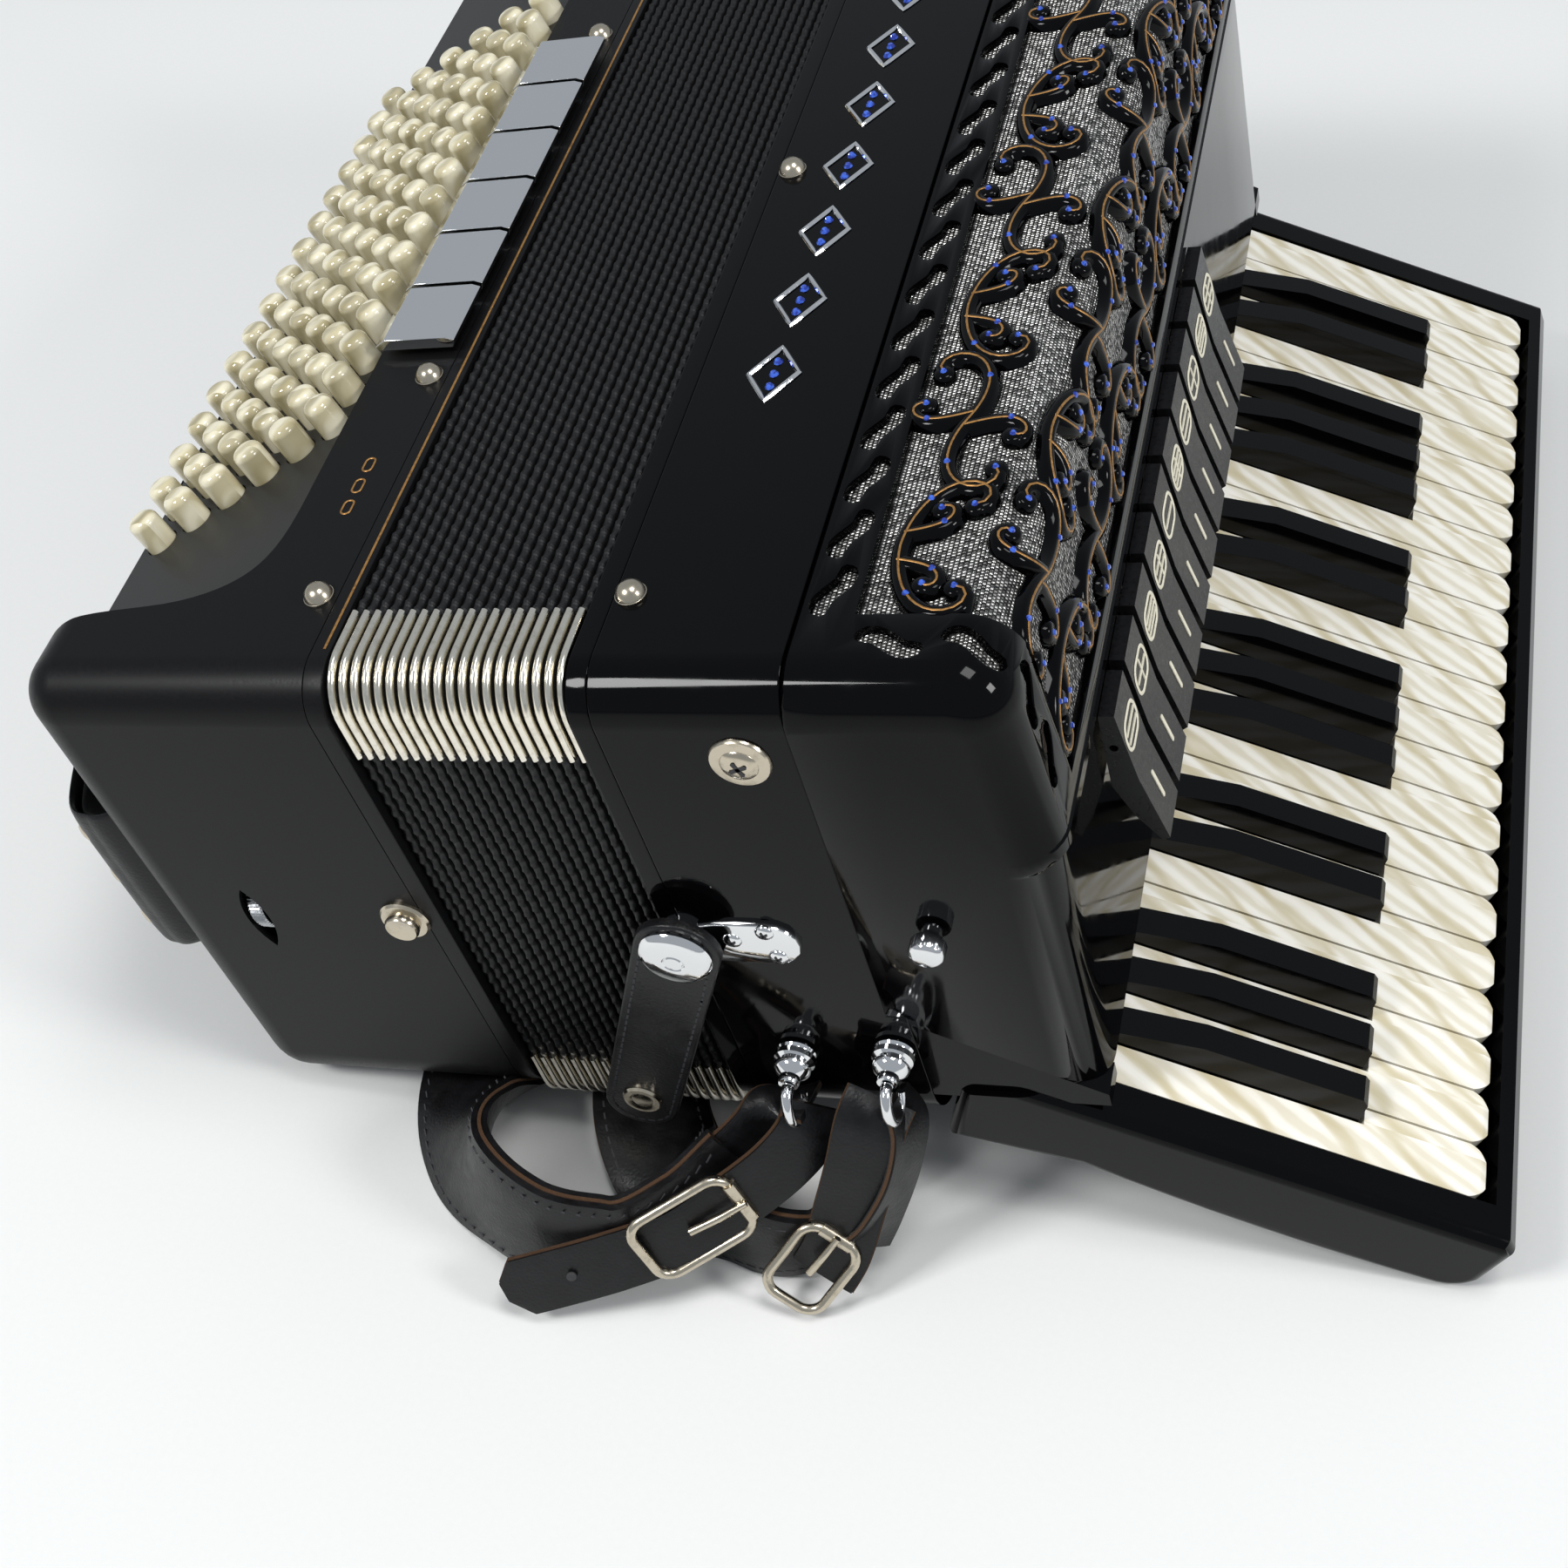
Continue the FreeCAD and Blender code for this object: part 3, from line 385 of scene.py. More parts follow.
def cream_inlay():
    """Cream lacquer filled into moulded lines: chalky, slightly proud."""
    return grained("cream_lacquer_fill", "#D8D2BC", 0.45, (1.2, 3.0), tones=("#DDD7C2", "#B5AE95"),
                   patches=((0.5, 0.0), (0.8, 0.7)))


def moulded_tab():
    """Moulded urea plastic for the tabs: charcoal satin with a soft skin."""
    return grained("moulded_urea_plastic", "#0F0F10", 0.30, (0.7, 4.0),
                   gloss=((0.3, 0.24), (0.8, 0.42)), tones=("#0C0C0D", "#141416"), IOR=1.54,
                   Specular_IOR_Level=0.3)


def maple():
    """Planed maple reed blocks: pale straw with fine long grain."""
    return grained("planed_maple", "#C9A673", 0.55, (0.9, 6.0, 0.65), (1, 0.06, 1),
                   tones=("#D3B384", "#A37C4A"), relief=(0.2, 0.2))


def steel():
    """Drawn steel: grey, fine lines along its length."""
    return grained("drawn_steel", "#A7A9AB", 0.26, (2.0, 4.0), (1, 0.05, 1),
                   gloss=((0.3, 0.18), (0.8, 0.36)), Metallic=1.0)


def rubber():
    """Moulded black rubber: dull, dusty grey bloom."""
    return grained("moulded_rubber", "#2A2A2B", 0.75, (0.6, 5.0), tones=("#1E1E1F", "#3C3C3D"),
                   relief=(0.15, 0.2))


def floor_paper():
    """Matt seamless backdrop paper: off-white with the faintest tooth."""
    return grained("matt_backdrop_paper", "#DCDCDA", 0.9, (0.5, 3.0), tones=("#DDDDDB", "#D9D9D7"))


FINISH = {
    "celluloid": black_celluloid(),
    "satin": satin_celluloid(),
    "plate": button_plate_lacquer(),
    "key_pearl": pearl("pearl_key_celluloid", "#F4F0E5", "#E0D9C5", "#C6B994",
                       math.radians(-65), 6.5, WHITE_PITCH),
    "button_pearl": pearl("pearl_button_celluloid", "#DDD6BC", "#BFB594", "#8F845F",
                          math.radians(30), 7.0, 7.5),
    "black_key": black_key_celluloid(),
    "cloth": bellows_cloth(),
    "nickel": nickel(),
    "bright_nickel": nickel("bright_nickel_plate", "#EAE5D8", 0.16),
    "chrome": chrome(),
    "gilding": gilding(),
    "stone": blue_stone(),
    "lurex": grille_cloth(),
    "leather": leather(),
    "lining": leather("black_suede_lining", "#0C0C0D", "#161617", 0.8),
    "edge": raw_edge(),
    "thread": thread(),
    "inlay": cream_inlay(),
    "tab": moulded_tab(),
    "maple": maple(),
    "steel": steel(),
    "rubber": rubber(),
}


# ------------------------------------------------------------------------- shape tools
def sheet_of(bm, rows, columns, place, wrap_rows=False, wrap_columns=False, capped=False):
    """A grid whose point at row r and column c, both 0 to 1, goes to place(r, c)."""
    made = bmesh.ops.create_grid(bm, x_segments=rows, y_segments=columns, size=1.0)["verts"]
    for vert in made:
        vert.co = place((vert.co.x + 1) / 2, (vert.co.y + 1) / 2)
    if wrap_rows or wrap_columns:
        bmesh.ops.remove_doubles(bm, verts=made, dist=1e-4)
        made = [vert for vert in made if vert.is_valid]
    if capped:
        rims = [edge for edge in {e for v in made for e in v.link_edges} if edge.is_boundary]
        bmesh.ops.holes_fill(bm, edges=rims, sides=0)


def put(name, bm, finish, body, place=LAY, smooth=35.0, outward=True):
    """Turn a bmesh into a piece of the accordion that rides on a body."""
    bm.transform(place)
    if outward:
        bmesh.ops.recalc_face_normals(bm, faces=bm.faces)
    mesh = bpy.data.meshes.new(name)
    bm.to_mesh(mesh)
    bm.free()
    mesh.polygons.foreach_set("use_smooth", [True] * len(mesh.polygons))
    mesh.set_sharp_from_angle(angle=math.radians(smooth))
    for entry in finish if isinstance(finish, (list, tuple)) else [finish]:
        mesh.materials.append(FINISH[entry])
    piece = bpy.data.objects.new(name, mesh)
    bpy.context.scene.collection.objects.link(piece)
    if body:
        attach(piece, body)
    return piece


def worked(node, finish, round_mm=0.4, segments=2, smooth=30.0):
    """A CAD piece with its edges eased, standing in for the bare node."""
    bm = bmesh.new()
    bm.from_mesh(frame["nodes"][node].data)
    bmesh.ops.remove_doubles(bm, verts=bm.verts, dist=0.005 * MM)
    bmesh.ops.dissolve_limit(bm, angle_limit=math.radians(0.5), verts=bm.verts,
                             edges=bm.edges, delimit={"NORMAL"})
    if round_mm:
        sharp = [edge for edge in bm.edges
                 if edge.is_manifold and edge.calc_face_angle() > math.radians(smooth)]
        bmesh.ops.bevel(bm, geom=sharp, offset=round_mm * MM, segments=segments, profile=0.5,
                        affect="EDGES", clamp_overlap=True, material=-1)
    piece = put(node + "_worked", bm, finish, BODY_OF[node],
                Matrix.Identity(4), smooth, outward=False)
    flats = piece.modifiers.new("flat_faces", "WEIGHTED_NORMAL")
    flats.keep_sharp = True
    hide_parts(node)


def repaint(node, finish):
    """A CAD piece kept as it is, with its real finish."""
    data = frame["nodes"][node].data
    data.materials.clear()
    data.materials.append(FINISH[finish])


def facing(origin, normal, lean=(0.0, 1.0, 0.0)):
    """A local frame at origin: its z is the normal, its y as near to lean as it can be."""
    z = Vector(normal).normalized()
    y = Vector(lean) - z * Vector(lean).dot(z)
    y.normalize()
    x = y.cross(z)
    made = Matrix((x, y, z)).transposed().to_4x4()
    made.translation = Vector(origin)
    return made


def turned(bm, profile, where, steps=32):
    """Spin a profile of (radius, height) points round the local z of a frame."""
    verts = [bm.verts.new((radius, 0.0, height)) for radius, height in profile]
    edges = [bm.edges.new(pair) for pair in zip(verts, verts[1:])]
    spun = bmesh.ops.spin(bm, geom=verts + edges, cent=(0, 0, 0), axis=(0, 0, 1),
                          angle=math.tau, steps=steps, use_merge=True)
    rim = {v for e in spun["geom_last"] if isinstance(e, bmesh.types.BMEdge) for v in e.verts}
    island = grow(list(rim) + verts)
    bmesh.ops.remove_doubles(bm, verts=island, dist=1e-4)
    island = [v for v in island if v.is_valid]
    bmesh.ops.transform(bm, matrix=where, verts=island)


def grow(seeds):
    """All vertices joined to the seeds."""
    found = {v for v in seeds if v.is_valid}
    edge = list(found)
    while edge:
        step = []
        for vert in edge:
            for link in vert.link_edges:
                other = link.other_vert(vert)
                if other not in found:
                    found.add(other)
                    step.append(other)
        edge = step
    return list(found)


def curve_points(points, count):
    """A smooth line through points (Catmull-Rom), sampled evenly in its parameter."""
    spots = [Vector(p) for p in points]
    spots = [spots[0] * 2 - spots[1]] + spots + [spots[-1] * 2 - spots[-2]]
    made = []
    spans = len(spots) - 3
    for k in range(count + 1):
        at = min(k * spans / count, spans - 1e-6)
        i = int(at)
        t = at - i
        a, b, c, d = spots[i:i + 4]
        made.append(0.5 * ((2 * b) + (c - a) * t + (2 * a - 5 * b + 4 * c - d) * t * t
                           + (3 * b - a - 3 * c + d) * t ** 3))
    return made


def tube(bm, points, radius, around=8, closed=False, flat=1.0, normal=(0, 0, 1)):
    """A round or flattened rod along points; radius may be a number or a function of 0..1."""
    spots = [Vector(p) for p in points]
    count = len(spots) - 1 if not closed else len(spots)
    width = radius if callable(radius) else lambda at: radius

    def place(r, c):
        i = int(round(r * count))
        here = spots[i % len(spots)]
        ahead = spots[(i + 1) % len(spots)] if closed else spots[min(i + 1, len(spots) - 1)]
        behind = spots[(i - 1) % len(spots)] if closed else spots[max(i - 1, 0)]
        way = (ahead - behind).normalized()
        side = way.cross(Vector(normal))
        side = side.normalized() if side.length > 1e-6 else way.orthogonal().normalized()
        top = side.cross(way)
        turn = c * math.tau
        r_here = width(i / count)
        return here + side * math.cos(turn) * r_here + top * math.sin(turn) * r_here * flat

    sheet_of(bm, count, around, place, wrap_rows=closed, wrap_columns=True, capped=not closed)


def slab(bm, outline, where, depth, ease=0.0, segments=2):
    """A plate: a flat outline in a local frame, given depth and eased edges."""
    verts = [bm.verts.new((x, y, 0.0)) for x, y in outline]
    face = bm.faces.new(verts)
    top = bmesh.ops.extrude_face_region(bm, geom=[face])["geom"]
    lifted = [v for v in top if isinstance(v, bmesh.types.BMVert)]
    bmesh.ops.translate(bm, vec=(0, 0, depth), verts=lifted)
    island = verts + lifted
    if ease:
        edges = [e for e in {e for v in lifted for e in v.link_edges}
                 if e.verts[0] in lifted and e.verts[1] in lifted]
        made = bmesh.ops.bevel(bm, geom=edges, offset=ease, segments=segments, profile=0.5,
                               affect="EDGES", material=-1)
        island = grow([v for v in verts if v.is_valid] + list(made["verts"]))
    bmesh.ops.transform(bm, matrix=where, verts=island)


def rounded_outline(width, height, radius, steps=6):
    """A rectangle with rounded corners about the origin."""
    made = []
    for quarter, (sx, sy) in enumerate(((1, 1), (-1, 1), (-1, -1), (1, -1))):
        for k in range(steps + 1):
            angle = math.radians(90 * quarter + 90 * k / steps)
            made.append((sx * (width / 2 - radius) + radius * math.cos(angle),
                         sy * (height / 2 - radius) + radius * math.sin(angle)))
    return made


# ------------------------------------------------------------------------ grille cover
def cover_outline(inset):
    """Closed x-z outline of the cover, drawn in by inset at its front and key side."""
    radius = SHOULDER - inset
    points = [(COVER_LEFT, 100.3), (COVER_LEFT, FRONT_Z - inset - 1.2),
              (COVER_LEFT + 1.2, FRONT_Z - inset)]
    for k in range(1, 4):
        points.append((COVER_LEFT + (SHOULDER_X - COVER_LEFT) * k / 4, FRONT_Z - inset))
    for k in range(13):
        angle = math.radians(90 - 7.5 * k)
        points.append((SHOULDER_X + radius * math.cos(angle), SHOULDER_Z + radius * math.sin(angle)))
    lip = COVER_RIGHT + 1.5 - inset
    points += [(lip, RAIL_TOP), (lip + 0.6, RAIL_TOP - 0.8), (lip + 0.6, RAIL_FOOT + 2.2),
               (lip - 0.4, RAIL_FOOT + 1.0), (COVER_RIGHT - inset, RAIL_FOOT),
               (COVER_RIGHT - inset, 66.6), (COVER_RIGHT - inset - 1.2, 65.9),
               (-158.0, 96.5), (-158.0, 100.3)]
    return points


def on_cover(along, y, lift=0.0):
    """A place on the cover, by distance round it from its left edge, and its normal."""
    if along <= FRONT_RUN:
        normal = Vector((0, 0, 1))
        spot = Vector((COVER_LEFT + along, y, FRONT_Z))
    elif along <= FRONT_RUN + SHOULDER_RUN:
        angle = math.pi / 2 - (along - FRONT_RUN) / SHOULDER
        normal = Vector((math.cos(angle), 0, math.sin(angle)))
        spot = Vector((SHOULDER_X, y, SHOULDER_Z)) + normal * SHOULDER
    else:
        run = (along - FRONT_RUN - SHOULDER_RUN) / STEEP_RUN
        spot = Vector((SHOULDER_X + SHOULDER + 3.5 * run, y,
                       SHOULDER_Z + (RAIL_TOP - SHOULDER_Z) * run))
        normal = Vector((48.0, 0, 3.5)).normalized()
    return spot + normal * lift, normal


def wave_slot(bm, along, y, length, width, lean):
    """One S-shaped slot: a wavy bar of even width along or across the cover."""
    def sway(r):
        return width * 0.44 * math.sin(math.tau * (r - 0.5) * 0.88)

    def place(r, c):
        slope = (sway(r + 0.01) - sway(r - 0.01)) / (0.02 * length)
        size = math.hypot(1.0, slope)
        half = width * 0.5 * max(0.25, 1 - abs(2 * r - 1) ** 9)
        side, lift = ((-1, -1), (1, -1), (1, 1), (-1, 1))[int(round(c * 4)) % 4]
        across = sway(r) + side * half / size
        run = (r - 0.5) * length - side * half * slope / size
        u = along + across * math.cos(lean) - run * math.sin(lean)
        v = y + across * math.sin(lean) + run * math.cos(lean)
        return on_cover(u, v, 3.0 if lift > 0 else -GRILLE_DEPTH - 0.8)[0]

    sheet_of(bm, 18, 4, place, wrap_columns=True, capped=True)


def slot_places():
    """Where the S slots sit: a row down the left edge and round both ends."""
    places = []
    for k in range(19):
        places.append((SLOT_ROW, MIDDLE_Y + (k - 9) * 20.6, 0.0))
    for y in (5.5, FAR_Y + CHIN_Y - 5.5):
        for k in range(4):
            places.append((26.0 + k * 22.0, y, math.pi / 2))
    return places


def grille_cover():
    """The cover as one closed block with rounded ends, its slots and window cut into its face."""
    stations = []
    for k in range(9):
        angle = math.radians(90 * k / 8)
        stations.append((CHIN_Y + CORNER * (1 - math.cos(angle)), CORNER * (1 - math.sin(angle))))
    stations += [(y, 0.0) for y in (60.0, MIDDLE_Y, FAR_Y + CHIN_Y - 60.0)]
    stations += [(FAR_Y + CHIN_Y - y, inset) for y, inset in reversed(stations[:9])]
    outlines = [cover_outline(inset) for _, inset in stations]
    count = len(outlines[0])

    def place(r, c):
        i = int(round(r * (len(stations) - 1)))
        x, z = outlines[i][int(round(c * count)) % count]
        return Vector((x, stations[i][0], z))

    bm = bmesh.new()
    sheet_of(bm, len(stations) - 1, count, place, wrap_columns=True, capped=True)
    shell = put("grille_cover_shell", bm, "celluloid", None, smooth=28)

    cutter = bmesh.new()

    def window(r, c):
        u_count = 24
        step = c * 2 * (u_count + 1)
        k = int(round(step)) % (2 * (u_count + 1))
        top = k <= u_count
        share = k / u_count if top else (2 * u_count + 1 - k) / u_count
        u = WINDOW_LEFT + (WINDOW_RIGHT - WINDOW_LEFT) * share
        y = WINDOW_CHIN + (WINDOW_FAR - WINDOW_CHIN) * r
        return on_cover(u, y, 3.0 if top else -GRILLE_DEPTH - 0.8)[0]

    sheet_of(cutter, 1, 50, window, wrap_columns=True, capped=True)
    for along, y, lean in slot_places():
        wave_slot(cutter, along, y, 17.6, 5.8, lean)
    tool = put("grille_cutter", cutter, "celluloid", None)
    bpy.context.view_layer.update()
    cut = shell.modifiers.new("openings", "BOOLEAN")
    cut.operation = "DIFFERENCE"
    cut.solver = "EXACT"
    cut.object = tool
    graph = bpy.context.evaluated_depsgraph_get()
    opened = bpy.data.meshes.new_from_object(shell.evaluated_get(graph))
    bpy.data.objects.remove(tool)
    bpy.data.objects.remove(shell)
    bm = bmesh.new()
    bm.from_mesh(opened)
    bmesh.ops.remove_doubles(bm, verts=bm.verts, dist=0.01 * MM)
    rims = [edge for edge in bm.edges if edge.is_manifold
            and math.radians(60) < edge.calc_face_angle() < math.radians(120)
            and edge.is_convex and edge.calc_length() > 0.3 * MM]
    bmesh.ops.bevel(bm, geom=rims, offset=0.5 * MM, segments=2, profile=0.5, affect="EDGES",
                    clamp_overlap=True, material=-1)
    shell = put("grille_cover_shell", bm, "celluloid", "treble_section",
                Matrix.Identity(4), 28, outward=False)
    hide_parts("grille_cover")


def half_scroll(length, gentle, curl, steps=17):
    """A line from the origin that bends gently and then curls up at its end."""
    heading = 0.0
    spots = [Vector((0.0, 0.0))]
    for k in range(steps):
        at = (k + 0.5) / steps
        heading += math.radians(gentle + 4 * curl * at ** 3) / steps
        spots.append(spots[-1] + Vector((math.cos(heading), math.sin(heading))) * length / steps)
    return spots


def scroll(kind, length, gentle, curl):
    """A scroll's centre line: C curls one way, S turns over at its middle, a leaf is half."""
    if kind == "leaf":
        return half_scroll(length, gentle, curl)
    spots = half_scroll(length / 2, gentle, curl)
    mirror = Vector((-1, 1)) if kind == "C" else Vector((-1, -1))
    other = [Vector((s.x * mirror.x, s.y * mirror.y)) for s in spots[1:]]
    return list(reversed(other)) + spots


def scroll_places():
    """The fretwork: kind, length, bend, curl, then centre, turn and hand on the cover."""
    made = []
    pitch = (WINDOW_FAR - WINDOW_CHIN) / 8
    for column in range(3):
        u = WINDOW_LEFT + (WINDOW_RIGHT - WINDOW_LEFT) * (column + 0.5) / 3
        for k in range(8):
            y = WINDOW_CHIN + pitch * (k + 0.5)
            if (k + column) % 2:
                made.append(("S", 86, 75, 160, u, y, 62, 1))
                made.append(("leaf", 24, 20, 190, u + 0.8, y + 2.6, 200, -1))
                made.append(("leaf", 24, 20, 190, u - 0.8, y - 2.6, 20, -1))
            else:
                made.append(("C", 88, 60, 190, u - 9, y, 90, -1))
                made.append(("leaf", 20, 20, 190, u - 9, y + 5, 10, 1))
                made.append(("leaf", 20, 20, 190, u - 9, y - 5, -10, -1))
    return made


def fretwork():
    """Bands of the fretwork, the bronze line inlaid in each, and the stones set in them."""
    bands = bmesh.new()
    lines = bmesh.new()
    stones = bmesh.new()
    for kind, length, gentle, curl, u0, y0, turn, hand in scroll_places():
        angle = math.radians(turn)
        path = []
        for spot in scroll(kind, length, gentle, curl):
            x, y = spot.x, spot.y * hand
            path.append(Vector((u0 + x * math.cos(angle) - y * math.sin(angle),
                                y0 + x * math.sin(angle) + y * math.cos(angle))))
        count = len(path) - 1

        def section(r, c, half, base, crown):
            i = int(round(r * count))
            way = (path[min(i + 1, count)] - path[max(i - 1, 0)]).normalized()
            side = Vector((-way.y, way.x))
            share = c * 2 - 1
            across = side * share * half
            lift = base + crown * (1 - abs(share) ** 4)
            u = min(max(path[i].x + across.x, WINDOW_LEFT - 0.6), WINDOW_RIGHT + 0.6)
            y = min(max(path[i].y + across.y, WINDOW_CHIN - 0.6), WINDOW_FAR + 0.6)
            return on_cover(u, y, lift)[0]

        sheet_of(bands, count, 8, lambda r, c: section(r, c, 3.0, -GRILLE_DEPTH, 3.1))
        sheet_of(lines, count, 4, lambda r, c: section(r, c, 0.5, -0.05, 0.5))
        ends = (0, count) if kind != "leaf" else (count,)
        for i in ends:
            spot, normal = on_cover(path[i].x, path[i].y, -GRILLE_DEPTH)
            turned(bands, [(0.0, 3.1), (2.2, 3.0), (3.1, 2.4), (3.3, 0.0)],
                   facing(spot, normal), 14)
        for share in (0.0, 0.3, 0.7, 1.0) if kind != "leaf" else (0.55, 1.0):
            i = int(round(share * count))
            spot, normal = on_cover(path[i].x, path[i].y, 0.45)
            made = bmesh.ops.create_cone(stones, cap_ends=True, segments=8, radius1=1.15,
                                         radius2=0.55, depth=0.9)["verts"]
            bmesh.ops.transform(stones, matrix=facing(spot, normal), verts=made)
    bmesh.ops.recalc_face_normals(bands, faces=bands.faces)
    for name, bm, finish, smooth in (("grille_scrolls", bands, "celluloid", 60),
                                     ("grille_bronze_lines", lines, "gilding", 60),
                                     ("grille_stones", stones, "stone", 5)):
        put(name, bm, finish, "treble_section", smooth=smooth)


def lurex_sheet():
    """The cloth behind the fretwork, stretched over the floor of the window."""
    left, right = 3.0, WINDOW_RIGHT + 3.0
    chin, far = -1.0, FAR_Y + CHIN_Y + 1.0
    bm = bmesh.new()
    weave = bm.loops.layers.uv.new("weave")
    flat = {}

    def place(r, c):
        u = left + (right - left) * r
        y = chin + (far - chin) * c
        spot = on_cover(u, y, -GRILLE_DEPTH)[0]
        flat[tuple(round(v, 3) for v in spot)] = (u, y)
        return spot

    sheet_of(bm, 60, 60, place)
    for face in bm.faces:
        for corner in face.loops:
            corner[weave].uv = flat[tuple(round(v, 3) for v in corner.vert.co)]
    piece = put("grille_lurex_sheet", bm, "lurex", "treble_section")


# ------------------------------------------------------------------------------ bellows
RING_WIDTH = 2 * (MIDDLE_Y - BELLOWS_CHIN_Y) - 2 * CORNER
RING_HEIGHT = FRONT_Z - BELLOWS_BACK_Z - 2 * CORNER
RING_ARC = CORNER * math.pi / 2
RING_LENGTH = 2 * (RING_WIDTH + RING_HEIGHT) + 4 * RING_ARC
FOLD_PROFILE = ((0.02, FOLD_DEPTH), (0.10, 6.0), (0.17, 1.4), (0.30, 0.3), (0.5, 0.0),
                (0.70, 0.3), (0.83, 1.4), (0.90, 6.0), (0.98, FOLD_DEPTH))


def ring_point(at, inset):
    """A point at distance at round the bellows' rounded rectangle, drawn in by inset."""
    runs = (RING_WIDTH, RING_ARC, RING_HEIGHT, RING_ARC) * 2
    y0, z0 = BELLOWS_CHIN_Y + CORNER, BELLOWS_BACK_Z + CORNER
    y1, z1 = y0 + RING_WIDTH, z0 + RING_HEIGHT
    starts = ((y0, z1, 90), (y1, z1, 90), (y1, z1, 0), (y1, z0, 0),
              (y1, z0, -90), (y0, z0, -90), (y0, z0, 180), (y0, z1, 180))
    at %= sum(runs)
    for k in range(8):
        if at <= runs[k]:
            break
        at -= runs[k]
    y, z, angle = starts[k]
    turn = math.radians(angle)
    if k % 2:
        turn -= at / CORNER
        at = 0.0
    out = Vector((0, math.cos(turn), math.sin(turn)))
    ahead = Vector((0, math.sin(turn), -math.cos(turn)))
    return Vector((0, y, z)) + out * (CORNER - inset) + ahead * at


def share_at(weight):
    """The place along a blend where its smooth step reaches weight."""
    low, high = 0.0, 1.0
    for _ in range(40):
        middle = (low + high) / 2
        if middle * middle * (3 - 2 * middle) < weight:
            low = middle
        else:
            high = middle
    return (low + high) / 2


def stretch_over(piece, weight0, weight1, x0, x1):
    """Works out, from two weights along the opening, where a blend would put the piece's edges at x0 and x1, and
    bakes the piece's placement into its mesh; it does not tie the piece to the opening.
    """
    t0, t1 = share_at(weight0), share_at(weight1)
    span = (x1 - x0) / max(t1 - t0, 1e-6)
    origin = x0 - t0 * span
    ends = [LAY @ Vector((x, MIDDLE_Y, 120.0)) for x in (origin, origin + span)]
    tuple(ends[0])
    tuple(ends[1])
    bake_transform(piece)


def bellows_fold(number):
    """One fold: card and cloth from valley to valley, embossed along its crest."""
    x0 = BELLOWS_LEFT + number * FOLD_PITCH
    count = int(RING_LENGTH / EMBOSS_PITCH) * 4
    phase = math.pi * (number % 2)
    last = len(FOLD_PROFILE) - 1

    def place(r, c):
        share, inset = FOLD_PROFILE[int(round(c * last))]
        pit = 0.5 + 0.5 * math.cos(math.tau * r * count / 4 + phase)
        if inset < 1.0:
            inset += 1.15 * pit
        spot = ring_point(r * RING_LENGTH, inset + 0.3)
        spot.x = x0 + share * FOLD_PITCH
        return spot

    bm = bmesh.new()
    sheet_of(bm, count, last, place, wrap_rows=True)
    piece = put("bellows_fold_%02d" % (number + 1), bm, "cloth", None, smooth=70)
    stretch_over(piece, number / FOLD_COUNT, (number + 1) / FOLD_COUNT, x0, x0 + FOLD_PITCH)
    return piece


def fold_corners(number):
    """Nickel caps crimped over the four corners of one fold."""
    x0 = BELLOWS_LEFT + number * FOLD_PITCH
    half_turn = RING_WIDTH + RING_HEIGHT + 2 * RING_ARC
    near, over = RING_WIDTH + RING_ARC / 2, RING_WIDTH + RING_ARC * 1.5 + RING_HEIGHT
    centres = (near, over, near + half_turn, over + half_turn)
    rim = ((0.17, 3.2), (0.17, 0.2), (0.27, -0.55), (0.42, -0.95), (0.58, -0.95), (0.73, -0.55),
           (0.83, 0.2), (0.83, 3.2))
    bm = bmesh.new()
    for centre in centres:
        def place(r, c):
            share, inset = rim[int(round(c * 8)) % 8]
            spot = ring_point(centre + (r - 0.5) * 50.0, inset + 0.3)
            spot.x = x0 + share * FOLD_PITCH
            return spot
        sheet_of(bm, 22, 8, place, wrap_columns=True, capped=True)
    piece = put("bellows_corner_caps_%02d" % (number + 1), bm, "bright_nickel", None,
                smooth=50)
    weight = (number + 0.5) / FOLD_COUNT
    stretch_over(piece, weight - 1e-4, weight + 1e-4, x0, x0 + FOLD_PITCH)


def bellows():
    first = None
    for number in range(FOLD_COUNT):
        fold = bellows_fold(number)
        first = first or fold
        fold_corners(number)
    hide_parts("bellows_folds")


# ----------------------------------------------------------------------- register tabs
def tab_frames(index):
    """Local frames on the cap and on the foot of a register tab."""
    y = TAB_FIRST_Y + index * TAB_PITCH + TAB_WIDTH / 2
    frames = []
    for (x0, z0), (x1, z1) in (((-98.2, 163.0), (-94.6, 137.0)), ((-94.6, 137.0), (-88.6, 111.5))):
        down = Vector((x1 - x0, 0, z1 - z0)).normalized()
        out = Vector((-down.z, 0, down.x))
        if out.x < 0:
            out = -out
        frames.append(facing(((x0 + x1) / 2, y, (z0 + z1) / 2), out, (0, 1, 0)))
    return frames


def register_tabs():
    """Marks on the tabs: a rounded frame with bars on the cap, a dash on the foot."""
    worked("register_tabs", "tab", 0.9, 3)
    bm = bmesh.new()
    for index in range(TAB_COUNT):
        cap, foot = tab_frames(index)
        ring = [cap @ Vector((x, y, 0.12)) for x, y in rounded_outline(9.8, 14.4, 4.2, 8)]
        tube(bm, ring, 0.62, 6, closed=True, flat=0.5, normal=cap.to_3x3() @ Vector((0, 0, 1)))
        for offset in ((-1.6, 1.6), (0.0,), (-2.2, 0.0, 2.2))[index % 3]:
            slab(bm, rounded_outline(1.0, 12.4, 0.4, 2),
                 cap @ Matrix.Translation((offset, 0, 0.02)), 0.35)
        if index % 2:
            slab(bm, rounded_outline(8.2, 1.0, 0.4, 2), cap @ Matrix.Translation((0, 0, 0.02)), 0.36)
        slab(bm, rounded_outline(11.0, 1.7, 0.7, 3), foot @ Matrix.Translation((-1.0, 0, 0.02)), 0.3)
    put("register_tab_marks", bm, "inlay", "register_tabs", smooth=50)


